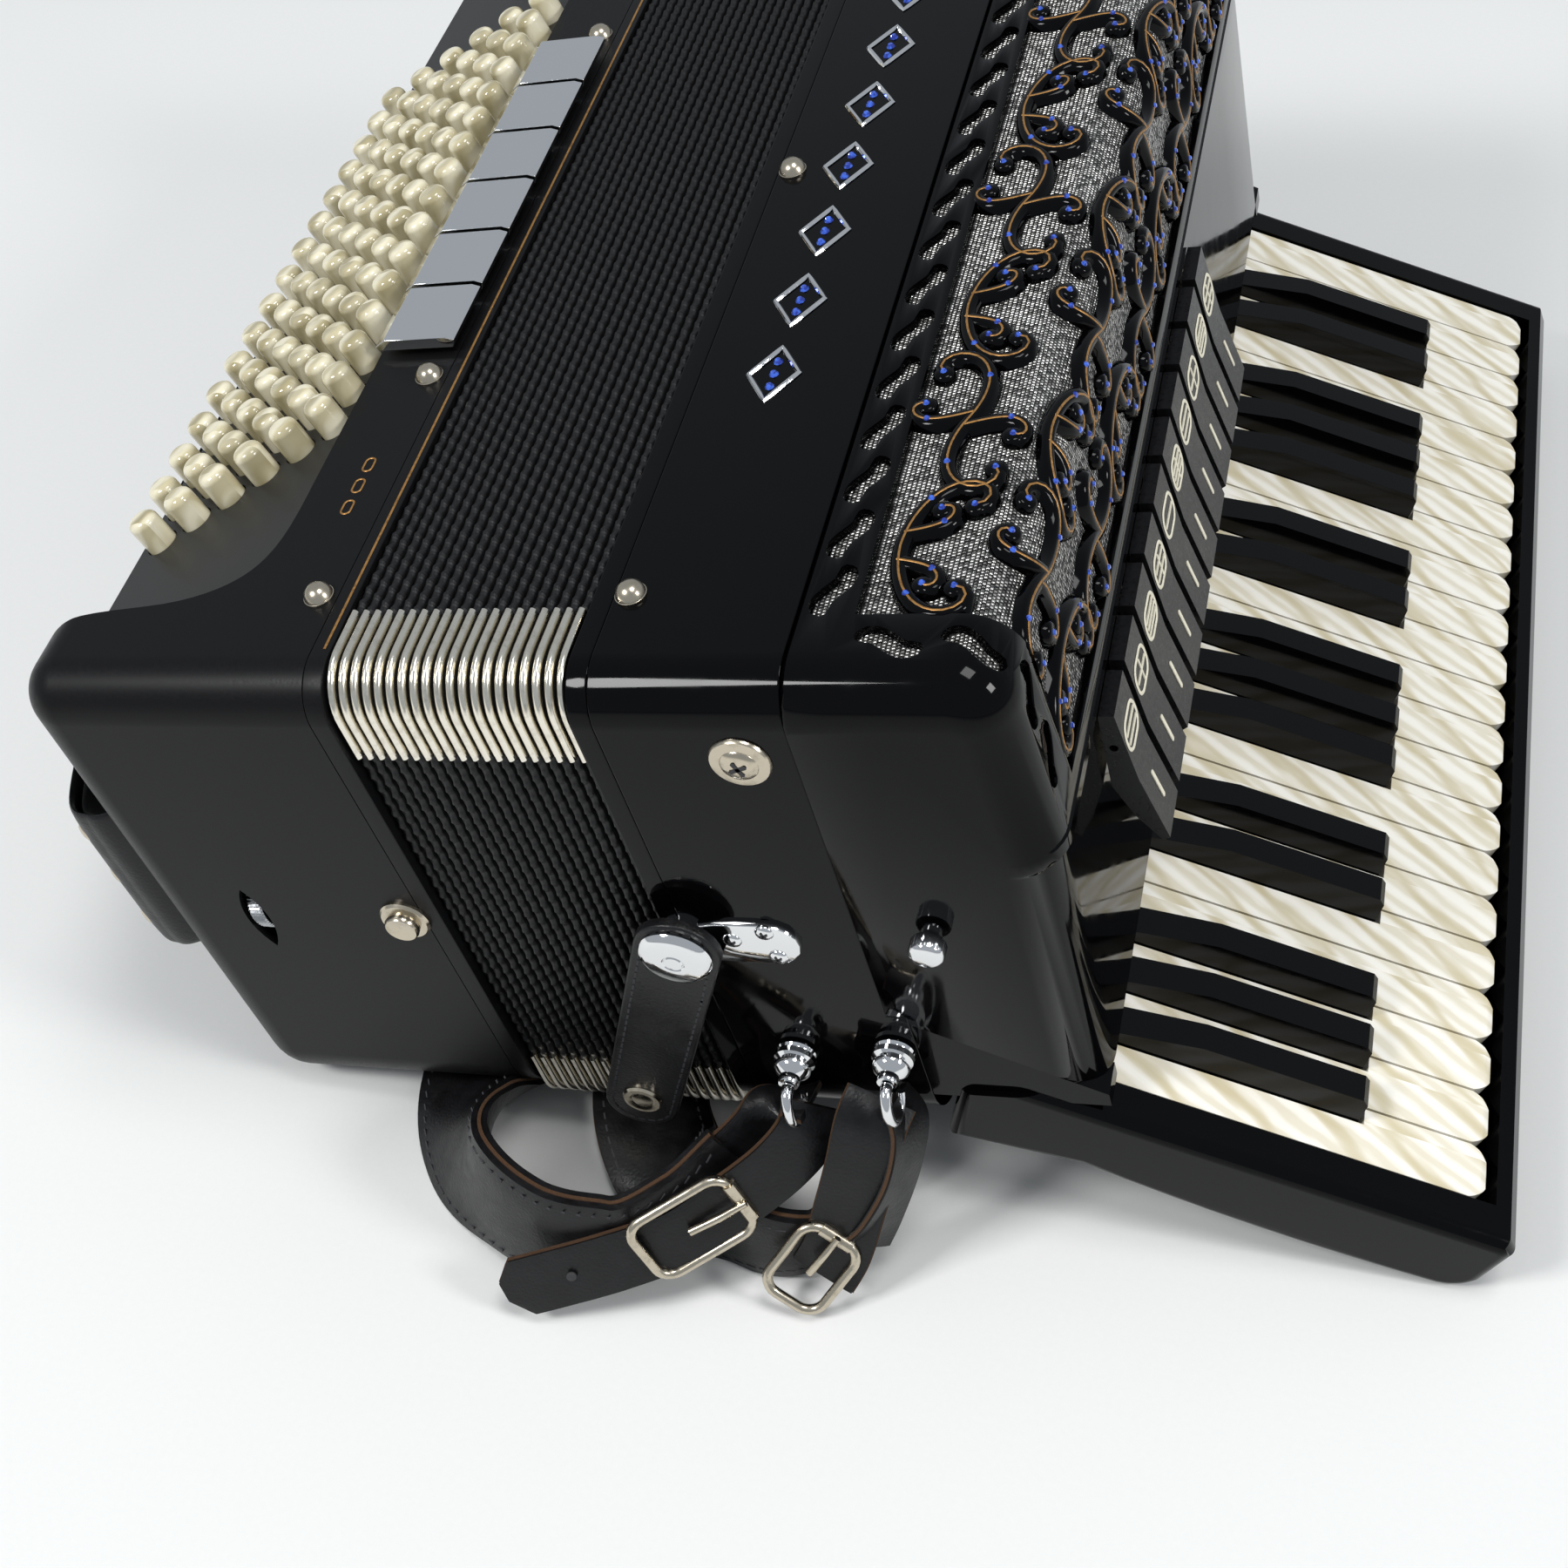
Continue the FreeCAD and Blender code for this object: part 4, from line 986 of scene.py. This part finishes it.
# ------------------------------------------------------------------------------- screws
DOME = [(0.0, 1.0), (0.35, 0.95), (0.7, 0.72), (0.92, 0.36), (1.0, 0.0), (1.0, -0.6), (0.0, -0.6)]


def dome(radius, height):
    return [(r * radius, h * height) for r, h in DOME]


def turned_set(name, finish, body, profile, frames, steps=32):
    """Pieces of one turned profile, one at each local frame."""
    bm = bmesh.new()
    for where in frames:
        turned(bm, profile, where, steps)
    return put(name, bm, finish, body, smooth=40)


def recess_shade_cross(bm, where, size):
    """Painted shade of a Phillips recess: two crossed dark slabs laid on the head where the recess's shade would
    be.
    """
    for turn in (0.4, 0.4 + math.pi / 2):
        slab(bm, rounded_outline(size, size * 0.24, size * 0.08, 2),
             where @ Matrix.Rotation(turn, 4, "Z"), 0.12)


def end_fittings(y_face, side, label):
    """Screws, bracket, pivot button and strap hooks at one end of the treble case."""
    metal = bmesh.new()
    dull = bmesh.new()
    dark = bmesh.new()
    out = (0, side, 0)

    def spot(x, z, lift=0.0):
        return facing((x, y_face + side * lift, z), out, (0, 0, 1))

    turned(dull, [(3.0, 1.4), (5.6, 1.5), (8.0, 1.1), (8.5, 0.4), (8.5, -0.3), (0.0, -0.3)],
           spot(*CASE_SCREW))
    turned(dull, dome(5.4, 1.7), spot(*CASE_SCREW, 1.3))
    put("treble_case_screw_" + label, dull, "nickel", "treble_section", smooth=40)
    # painted shade: a dark cross on each screw head stands in for the shaded recess
    recess_shade_cross(dark, spot(*CASE_SCREW, 2.98), 5.4)
    outline = [(-11.0, -6.0), (-4.0, -8.2), (4.0, -8.6), (12.0, -8.6)]
    for k in range(9):
        angle = math.radians(-90 + 22.5 * k)
        outline.append((19.0 + 8.6 * math.cos(angle), 8.6 * math.sin(angle)))
    outline += [(12.0, 8.6), (4.0, 8.4), (-4.0, 6.8), (-11.0, 5.0)]
    plate = facing((-209.0, y_face, 134.5), out, (0, 0, 1))
    if side > 0:
        outline = [(-x, y) for x, y in reversed(outline)]
    slab(metal, outline, plate, 1.8, 0.7, 2)
    for x, z in ((-201.0, 136.5), (-190.5, 140.5), (-189.0, 129.5)):
        turned(metal, dome(2.9, 1.2), spot(x, z, 1.8), 20)
        recess_shade_cross(dark, spot(x, z, 3.02), 3.0)
    turned(metal, [(0.0, 12.4), (2.6, 12.2), (3.0, 11.7), (3.4, 12.1), (8.4, 12.0), (10.3, 11.2),
                   (11.0, 9.9), (10.6, 9.0), (9.5, 8.7), (3.0, 8.7), (3.0, 5.2), (6.5, 5.0),
                   (6.5, -0.2), (0.0, -0.2)], spot(PIVOT.x, PIVOT.z), 40)
    for x, z in ((-197.0, 78.0), (-165.6, 82.0)):
        turned(metal, [(0.0, 11.5), (3.0, 11.4), (3.4, 10.4), (3.2, 8.8), (4.4, 8.0), (5.6, 6.6),
                       (5.8, 5.2), (4.6, 4.4), (6.3, 3.2), (6.5, 1.6), (5.6, 0.8), (6.2, -0.2),
                       (0.0, -0.2)], spot(x, z))
        hook = []
        for k in range(17):
            angle = math.radians(96 - 252 * k / 16)
            hook.append((x + 1.2 * k / 16, y_face + side * (12.4 + 6.0 * math.cos(angle)),
                         z - 7.5 + 7.2 * math.sin(angle)))
        tube(metal, hook, lambda at: 1.9 - 0.5 * at, 10, normal=(1, 0, 0))
    put("treble_end_metal_" + label, metal, "chrome", "treble_section", smooth=40)
    # the dark crosses are painted recess shade, not slots cut into the heads
    put("treble_screw_painted_recess_shade_" + label, dark, "rubber", "treble_section")


def bellows_pins():
    """Domed pins through the bellows frames along the front."""
    profile = [(0.0, 4.2), (2.2, 3.7), (3.7, 2.2), (4.2, 0.6), (4.4, 0.5), (4.4, 0.0), (0.0, 0.0)]
    top = FAR_Y + CHIN_Y
    for side, x, ys in (("treble", -211.0, (23.0, MIDDLE_Y, top - 23.0)),
                        ("bass", -304.0, (24.0, 117.0, top - 117.0, top - 24.0))):
        piece = turned_set("bellows_pins_" + side, "nickel", side + "_section", profile,
                           [facing((x, y, FRONT_Z), (0, 0, 1)) for y in ys], 24)
        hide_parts(side + "_fittings")


def thumb_screws():
    """Knurled screws that hold the cover's ends."""
    bm = bmesh.new()
    for y_face, side in ENDS:
        where = facing((-143.0, y_face, 140.0), (0, side, 0), (0, 0, 1))
        turned(bm, [(0.0, 8.2), (3.6, 8.0), (4.6, 7.4), (5.0, 6.8), (5.0, 2.4), (4.4, 1.8),
                    (3.0, 1.6), (3.0, -0.3), (0.0, -0.3)], where)
        for k in range(30):
            angle = math.tau * k / 30
            slab(bm, rounded_outline(0.55, 4.2, 0.2, 1),
                 where @ Matrix.Rotation(angle, 4, "Z") @ Matrix.Translation((4.9, 0, 4.6))
                 @ Matrix.Rotation(math.pi / 2, 4, "X"), 0.01)
    put("cover_thumb_screws", bm, "chrome", "treble_section", smooth=40)


def bass_end_metal():
    """Bellows-strap studs on both ends of the bass case."""
    turned_set("bass_strap_studs", "nickel", "bass_section",
               [(0.0, 3.6), (1.6, 3.7), (3.8, 4.4), (4.8, 4.6), (5.4, 3.6), (5.2, 1.9),
                (7.2, 1.6), (7.9, 0.8), (7.9, -0.2), (0.0, -0.2)],
               [facing((-304.5, y, 138.0), (0, side, 0), (0, 0, 1)) for y, side in ENDS])


def bass_feet():
    """Four rubber feet on the bass side."""
    turned_set("bass_feet", "rubber", "bass_section",
               [(0.0, 6.0), (4.6, 5.9), (6.2, 5.2), (6.8, 4.0), (8.4, 0.8), (8.5, -1.5),
                (0.0, -1.5)],
               [facing((BASS_LEFT, y, z), (-1, 0, 0), (0, 1, 0))
                for y in (10.0, FAR_Y + CHIN_Y - 10.0) for z in (66.0, 204.0)])


# ------------------------------------------------------------------------------- straps
def bellows_strap(node, y_face, side):
    """The short leather strap that keeps the bellows shut, with its snap."""
    lean = math.radians(23.9)
    length = 89.0
    top = Vector((PIVOT.x, y_face + side * 5.4, PIVOT.z))
    down = Vector((-math.sin(lean), 0, -math.cos(lean)))
    where = facing(top, (0, side, 0), -down)
    outline = []
    for centre, base, radius in ((0.0, 0, 12.8), (-length, 180, 11.8)):
        for k in range(13):
            angle = math.radians(base + 15 * k)
            outline.append((radius * math.cos(angle), centre + radius * math.sin(angle)))
    bm = bmesh.new()
    slab(bm, outline, where, 3.2, 0.9, 3)
    strap = put(node + "_leather", bm, "leather", BODY_OF[node], smooth=50)
    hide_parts(node)
    seam = bmesh.new()
    border = [where @ Vector((x * 0.80, y * 0.80 if y > 0 else (y + length) * 0.78 - length, 3.15))
              for x, y in outline]
    stitch_along(seam, border + [border[0]], (0, side, 0), 3.4)
    put(node + "_stitching", seam, "thread", BODY_OF[node])
    snap = bmesh.new()
    foot = facing(top + down * (length - 4.0) + Vector((0, side * 3.1, 0)), (0, side, 0), (0, 0, 1))
    turned(snap, [(0.0, 1.3), (2.6, 1.35), (3.4, 1.0), (4.2, 1.5), (5.8, 1.4), (6.5, 0.6),
                  (6.5, -0.3), (0.0, -0.3)], foot)
    put(node + "_snap", snap, "nickel", BODY_OF[node], smooth=40)


def stitch_along(bm, line, normal, pitch=4.0, size=0.42):
    """A row of stitches along a line of points, each a short raised bead."""
    spots = [Vector(p) for p in line]
    carried = 0.0
    gap = pitch * 0.32
    for a, b in zip(spots, spots[1:]):
        run = (b - a).length
        at = (pitch - carried) % pitch
        while at < run:
            way = (b - a).normalized()
            middle = a + way * at
            half = (pitch - gap) / 2
            made = bmesh.ops.create_cube(bm, size=1.0)["verts"]
            frame_here = facing(middle, normal, way)
            shape = frame_here @ Matrix.Diagonal((size * 1.6, half * 2, size, 1.0))
            bmesh.ops.transform(bm, matrix=shape, verts=made)
            at += pitch
        carried = (carried + run) % pitch


def strap_lie(stations, count):
    """Along a strap: its places, its ways forward and its faces' outward looks."""
    spine = curve_points([where for where, _ in stations], count)
    looks = curve_points([look for _, look in stations], count)
    ways = [(spine[min(i + 1, count)] - spine[max(i - 1, 0)]).normalized()
            for i in range(count + 1)]
    outs = [(look - way * look.dot(way)).normalized() for look, way in zip(looks, ways)]
    return spine, ways, outs


def strap_strip(bm, stations, width, thick, count, crown=0.0):
    """A strap through stations of a place and the way its face looks there."""
    spine, ways, outs = strap_lie(stations, count)
    section = []
    for k in range(16):
        angle = math.tau * (k + 0.5) / 16
        x = math.copysign(min(1.0, abs(math.cos(angle)) * 1.25) ** 0.5, math.cos(angle))
        y = math.copysign(min(1.0, abs(math.sin(angle)) * 1.6) ** 0.8, math.sin(angle))
        section.append((x, y))

    def place(r, c):
        i = int(round(r * count))
        across = ways[i].cross(outs[i])
        x, y = section[int(round(c * 16)) % 16]
        w = width(i / count) if callable(width) else width
        swell = thick / 2 + crown * max(0.0, 1 - x * x) * min(1.0, 6 * r, 6 * (1 - r))
        spot = spine[i] + across * x * w / 2 + outs[i] * y * swell
        spot.z = max(spot.z, 0.15)
        return spot

    sheet_of(bm, count, 16, place, wrap_columns=True, capped=True)


def strap_piece(name, stations, width, thick, count=60, crown=0.0):
    """A leather strap, with the brown hide showing in its two cut edges."""
    bm = bmesh.new()
    strap_strip(bm, stations, width, thick, count, crown)
    piece = put(name, bm, "leather", "treble_section", TABLE, 60)
    hide = bmesh.new()
    wider = (lambda at: width(at) + 0.9) if callable(width) else width + 0.9
    strap_strip(hide, stations, wider, min(1.3, thick * 0.45), count)
    put(name + "_hide", hide, "edge", "treble_section", TABLE, 60)
    return piece


def strap_seam(name, stations, width, inset, lift, count):
    """Rows of stitches along both sides of a strap's face."""
    spine, ways, outs = strap_lie(stations, count)
    middle_look = curve_points([look for _, look in stations], count)[count // 2]
    bm = bmesh.new()
    for side in (-1, 1):
        line = []
        for i in range(3, count - 2):
            reach = side * (width(i / count) / 2 - inset)
            line.append(spine[i] + ways[i].cross(outs[i]) * reach + outs[i] * lift)
        stitch_along(bm, line, middle_look, 4.6, 0.4)
    put(name, bm, "thread", "treble_section", TABLE)


def buckle(name, where, width, height, wire):
    """A roller buckle: bent frame, roller tube on its end bar, prong."""
    bm = bmesh.new()
    ring = [where @ Vector((x, y, 0)) for x, y in rounded_outline(width, height, 6.0, 6)]
    tube(bm, ring, wire, 10, closed=True, normal=where.to_3x3() @ Vector((0, 0, 1)))
    bar = [where @ Vector((width / 2, y, 0)) for y in (-height / 2 + 4.5, 0, height / 2 - 4.5)]
    tube(bm, bar, wire * 1.45, 14, normal=where.to_3x3() @ Vector((0, 0, 1)))
    prong = [where @ Vector(p) for p in ((-1.0, 0, 1.2), (width * 0.25, 0, 2.4),
                                         (width * 0.42, 0, 2.6), (width / 2 + 1.5, 0, 2.9))]
    tube(bm, curve_points(prong, 12), lambda at: wire * (0.85 - 0.2 * at), 8,
         normal=where.to_3x3() @ Vector((0, 1, 0)))
    put(name, bm, "nickel", "treble_section", TABLE, 50)


def shoulder_straps():
    """Both padded straps as they fall: pads on the table, billets up to the hooks."""
    flat = (0.0, 0.0, 1.0)
    outer = [((-284, 330, 4.2), flat), ((-301, 230, 4.2), flat), ((-314, 110, 4.2), flat),
             ((-321, 40, 4.4), flat), ((-322, 2, 7), (-0.2, -0.1, 1)),
             ((-317, -28, 16), (-0.6, -0.5, 0.7)), ((-302, -50, 24), (-0.5, -0.9, 0.25)),
             ((-278, -61, 25), (-0.1, -1, 0.15)), ((-254, -57, 26), (0.5, -0.9, 0.1)),
             ((-236, -45, 35), (0.6, -0.85, 0.15)), ((-224, -33, 43), (0.6, -0.8, 0.2))]
    inner = [((-234, 330, 4.2), flat), ((-256, 230, 4.2), flat), ((-271, 110, 4.2), flat),
             ((-272, 40, 4.4), flat), ((-266, 4, 5), flat), ((-255, -18, 7), (-0.1, -0.2, 1)),
             ((-241, -34, 12), (-0.35, -0.75, 0.5)), ((-226, -42, 15), (-0.1, -1, 0.2)),
             ((-210, -46, 16), (0.0, -1, 0.15)), ((-196, -43, 19), (0.4, -0.9, 0.15)),
             ((-187, -36, 24), (0.5, -0.85, 0.2))]
    for name, stations, wide, tail in (("shoulder_pad_a", outer, 46.0, 18.0),
                                       ("shoulder_pad_b", inner, 38.0, 16.0)):
        def width(at):
            return wide - tail * min(1.0, max(0.0, at - 0.6) / 0.3) ** 1.5

        strap_piece(name, stations, width, 6.0, 120, 1.2)
        strap_seam(name + "_stitching", stations, width, 3.6, 3.3, 120)
    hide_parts("shoulder_strap_a")
    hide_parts("shoulder_strap_b")
    front_a = [((-200, -22, 61), (0.5, -0.7, 0.5)), ((-202, -29, 55), (0.35, -0.9, 0.3)),
               ((-210, -38, 47), (0.3, -0.9, 0.3)), ((-224, -49, 38), (0.3, -0.9, 0.35)),
               ((-238, -59, 31), (0.3, -0.88, 0.4)), ((-256, -67, 25), (0.25, -0.88, 0.45)),
               ((-275, -73, 18), (0.2, -0.88, 0.45)), ((-290, -77, 12), (0.2, -0.88, 0.45))]
    strap_piece("strap_billet_a", front_a,
                lambda at: 21.0 * min(1.0, 0.35 + (1 - at) * 12), 2.8, 90)
    back_a = [((-202, -20, 60), (-0.6, 0.3, 0.8)), ((-209, -20, 58), (-0.2, 0.6, 0.8)),
              ((-217, -27, 50), (0.3, -0.9, 0.4)), ((-228, -37, 42), (0.4, -0.9, 0.3)),
              ((-240, -47, 34), (0.5, -0.9, 0.2))]
    strap_piece("strap_billet_a_return", back_a, 20.0, 2.6, 50)
    front_b = [((-180, -21, 70), (0.3, -0.2, 0.9)), ((-182, -29, 66), (0.1, -0.9, 0.5)),
               ((-184, -36, 52), (0.05, -0.95, 0.3)), ((-187, -42, 36), (0.0, -0.95, 0.3)),
               ((-190, -48, 22), (0.0, -0.9, 0.4)), ((-194, -52, 12), (0.0, -0.7, 0.7))]
    strap_piece("strap_billet_b", front_b, 21.0, 2.8, 60)
    back_b = [((-176, -20, 70), (0.6, 0.3, 0.7)), ((-171, -25, 62), (0.9, -0.3, 0.2)),
              ((-172, -33, 48), (0.9, -0.4, 0.1)), ((-177, -40, 32), (0.8, -0.5, 0.2)),
              ((-183, -43, 18), (0.6, -0.8, 0.2))]
    strap_piece("strap_billet_b_return", back_b, 18.0, 2.6, 50)
    corners = [Vector(p) for p in ((-250, -62, 40), (-226, -45, 49), (-215.5, -47, 32),
                                   (-241, -65, 19))]
    middle = sum(corners, Vector()) / 4
    along = (corners[1] + corners[2] - corners[0] - corners[3]).normalized()
    up = (corners[0] + corners[1] - corners[2] - corners[3]).normalized()
    buckle("strap_buckle_a", facing(middle + Vector((0.3, -0.9, 0.4)) * 2.0, along.cross(up), up),
           34.0, 25.0, 1.7)
    where_b = facing((-197, -54, 18), (0.1, -0.85, 0.5), (0.5, 0.2, 0.85))
    buckle("strap_buckle_b", where_b @ Matrix.Rotation(math.pi / 2, 4, "Z"), 28.0, 20.0, 1.7)
    # painted shade: dark discs on the billets stand in for the shade inside two punched holes
    hole_shade = bmesh.new()
    for x, y, z in ((-233.5, -56.8, 31.5), (-268.0, -73.2, 22.0)):
        turned(hole_shade, [(0.0, 0.35), (1.3, 0.3), (1.6, 0.0), (1.6, -0.6), (0.0, -0.6)],
               facing((x, y, z), (0.25, -0.88, 0.42)), 14)
    put("strap_painted_hole_shade", hole_shade, "rubber", "treble_section", TABLE)


def hand_strap():
    """Padded leather band for the left hand, bowed out from the bass side."""
    def bow(r):
        stops = curve_points([(-0.8, 1.5), (-10, -1.0), (-20, 8), (-34, 60), (-44, 140),
                              (-44.5, MIDDLE_Y), (-44, 278), (-34, 358), (-20, 410),
                              (-10, 419.0), (-0.8, 416.5)], 100)
        return stops[int(round(r * 100))]

    def band(inside, outside, low, high, name, finish, crown):
        bm = bmesh.new()

        def place(r, c):
            spot = bow(r)
            ahead = bow(min(1.0, r + 0.01)) - bow(max(0.0, r - 0.01))
            out = Vector((-ahead.y, ahead.x)).normalized()
            turn = math.tau * c
            share = math.copysign(abs(math.cos(turn)) ** 0.45, math.cos(turn))
            depth = math.copysign(abs(math.sin(turn)) ** 0.8, math.sin(turn))
            swell = crown * (1 - share * share) * math.sin(math.pi * r)
            off = (inside + outside) / 2 + depth * ((outside - inside) / 2 + swell)
            z = (low + high) / 2 + share * (high - low) / 2
            return Vector((BASS_LEFT + spot.x + out.x * off, spot.y + out.y * off, z))

        sheet_of(bm, 100, 24, place, wrap_columns=True, capped=True)
        return put(name, bm, finish, "bass_section", smooth=60)

    strap = band(0.2, 3.0, 106.5, 171.5, "hand_strap_leather", "leather", 0.3)
    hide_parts("hand_strap")
    pad = band(-2.6, 0.6, 110.0, 168.0, "hand_strap_pad", "lining", 1.2)
    metal = bmesh.new()
    for y, side in ((0.4, -1), (FAR_Y + CHIN_Y - 0.4, 1)):
        where = facing((BASS_LEFT - 18.0, y, 139.0), (-0.62, 0.78 * side, 0), (0, 0, 1))
        for k in range(3):
            turned(metal, dome(3.6, 1.6), where @ Matrix.Translation((0, (k - 1) * 21.0, 0.4)), 20)
    put("hand_strap_rivets", metal, "nickel", "bass_section", smooth=40)


# ---------------------------------------------------------------------------- ornaments
def front_ornaments():
    """Seven chrome lozenges with stones, and the bronze mark and pinstripe of the bass front."""
    rims = bmesh.new()
    stones = bmesh.new()
    for k in range(7):
        y = 110.0 + 33.0 * k
        where = facing((-193.0, y, FRONT_Z), (0, 0, 1))
        ring = [(0, -11.5), (7.5, 0), (0, 11.5), (-7.5, 0)]
        loop = []
        for a, b in zip(ring, ring[1:] + ring[:1]):
            for step in range(6):
                loop.append(where @ Vector((a[0] + (b[0] - a[0]) * step / 6,
                                            a[1] + (b[1] - a[1]) * step / 6, 0.3)))
        tube(rims, loop, 0.8, 6, closed=True, flat=0.8)
        for spot in (-5.4, 0.0, 5.4):
            made = bmesh.ops.create_cone(stones, cap_ends=True, segments=8, radius1=1.5,
                                         radius2=0.75, depth=1.1)["verts"]
            bmesh.ops.transform(stones, matrix=where @ Matrix.Translation((0, spot, 0.5)),
                                verts=made)
    put("front_lozenge_rims", rims, "chrome", "treble_section", smooth=50)
    put("front_lozenge_stones", stones, "stone", "treble_section", smooth=5)
    mark = bmesh.new()
    where = facing((-309.5, 69.0, FRONT_Z), (0, 0, 1))
    for offset in (-9.0, 0.0, 9.0):
        loop = [where @ Vector((x, y + offset, 0.05)) for x, y in rounded_outline(3.0, 5.6, 1.4, 4)]
        tube(mark, loop, 0.32, 6, closed=True, flat=0.5)
    put("bass_front_mark", mark, "gilding", "bass_section")
    pin = bmesh.new()
    tube(pin, [(-294.4, y, FRONT_Z + 0.02) for y in (4.0, MIDDLE_Y, 414.0)], 0.4, 6, flat=0.5)
    put("bass_bronze_pinstripe", pin, "gilding", "bass_section")


def strap_wheel():
    """Knurled wheel that shows through its slot in the bass case."""
    bm = bmesh.new()
    where = facing((-358.9, -0.5, 135.0), (1, 0, 0), (0, 1, 0))
    teeth = 60

    def place(r, c):
        turn = math.tau * r
        rim = ((2.0, 0.0), (11.2, 0.0), (11.8, 0.6), (11.8, 4.2), (11.2, 4.8), (2.0, 4.8))
        radius, lift = rim[int(round(c * 5))]
        if radius > 11.5 and int(round(r * teeth * 2)) % 2:
            radius -= 0.5
        return where @ Vector((radius * math.cos(turn), radius * math.sin(turn), lift))

    sheet_of(bm, teeth * 2, 5, place, wrap_rows=True)
    turned(bm, [(0.0, 22.0), (2.2, 21.5), (2.2, -11.5), (0.0, -12.0)], where)
    wheel = put("strap_wheel_knurled", bm, "steel", "strap_wheel", smooth=20)
    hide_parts("strap_wheel")


# ------------------------------------------------------------------------------- build
for number in range(WHITE_COUNT):
    worked("key_white_%02d" % (number + 1), "key_pearl", 0.7, 3)
for node in sorted(frame["nodes"]):
    if node.startswith("key_black"):
        worked(node, "black_key", 0.55, 2)
worked("treble_case", "celluloid", 0.5)
worked("keyboard_frame", "celluloid", 0.3)
worked("treble_bellows_frame", "celluloid", 0.5)
worked("bass_bellows_frame", "satin", 0.5)
worked("bass_case", "satin", 0.8)
worked("bass_buttons", "button_pearl", 0.0)
worked("bass_registers", "chrome", 0.5)
worked("air_button", "button_pearl", 0.5)
for node, finish in (("bass_button_plate", "plate"), ("key_axle", "steel"),
                     ("treble_reed_blocks", "maple"), ("bass_reed_blocks", "maple")):
    repaint(node, finish)
grille_cover()
fretwork()
lurex_sheet()
bellows()
register_tabs()
for (end_y, end_side), end_name in zip(ENDS, ("chin", "far")):
    end_fittings(end_y, end_side, end_name)
bellows_pins()
thumb_screws()
bass_end_metal()
bass_feet()
for (end_y, end_side), end_name in zip(ENDS, ("chin", "far")):
    bellows_strap("bellows_strap_" + end_name, end_y, end_side)
shoulder_straps()
hand_strap()
front_ornaments()
strap_wheel()


# ---------------------------------------------------------------- floor, light, camera
def studio():
    """Pale paper floor and soft light."""
    bm = bmesh.new()
    bmesh.ops.create_grid(bm, x_segments=1, y_segments=1, size=8.0)
    mesh = bpy.data.meshes.new("floor")
    bm.to_mesh(mesh)
    bm.free()
    mesh.materials.append(floor_paper())
    floor = bpy.data.objects.new("floor", mesh)
    bpy.context.scene.collection.objects.link(floor)
    world = bpy.data.worlds.new("studio")
    world.use_nodes = True
    world.node_tree.nodes["Background"].inputs["Color"].default_value = linear("#DDE4EC")
    world.node_tree.nodes["Background"].inputs["Strength"].default_value = 0.55
    bpy.context.scene.world = world
    target = Vector((0.0, 0.0, 0.1))
    for name, spot, size, power in (("key_softbox", (-1.3, -1.1, 1.9), 0.55, 34.0),
                                    ("side_softbox", (1.9, -0.5, 1.5), 0.5, 20.0),
                                    ("top_softbox", (0.5, -0.2, 2.6), 0.8, 24.0)):
        light = bpy.data.lights.new(name, "AREA")
        light.shape = "SQUARE"
        light.size = size
        light.energy = power
        lamp = bpy.data.objects.new(name, light)
        lamp.location = spot
        lamp.rotation_euler = (target - Vector(spot)).to_track_quat("-Z", "Y").to_euler()
        bpy.context.scene.collection.objects.link(lamp)
    bpy.context.scene.view_settings.view_transform = "Standard"


def camera():
    """A lens of 50 mm over the chin end, looking down across the keys."""
    data = bpy.data.cameras.new("camera")
    data.lens = 50.09
    data.sensor_width = 36.0
    data.shift_x = 0.0037
    data.shift_y = 0.0224
    data.clip_start = 0.01
    seen = bpy.data.objects.new("camera", data)
    turn = LAY.to_3x3() * (1 / MM)
    right = turn @ Vector((0.94239, 0.22932, -0.24355))
    down = turn @ Vector((0.02146, -0.76801, -0.64007))
    ahead = turn @ Vector((-0.33383, 0.59797, -0.72869))
    place = Matrix((right, -down, -ahead)).transposed().to_4x4()
    place.translation = LAY @ Vector((14.80, -350.85, 601.30))
    seen.matrix_world = place
    bpy.context.scene.collection.objects.link(seen)
    bpy.context.scene.camera = seen


studio()
camera()
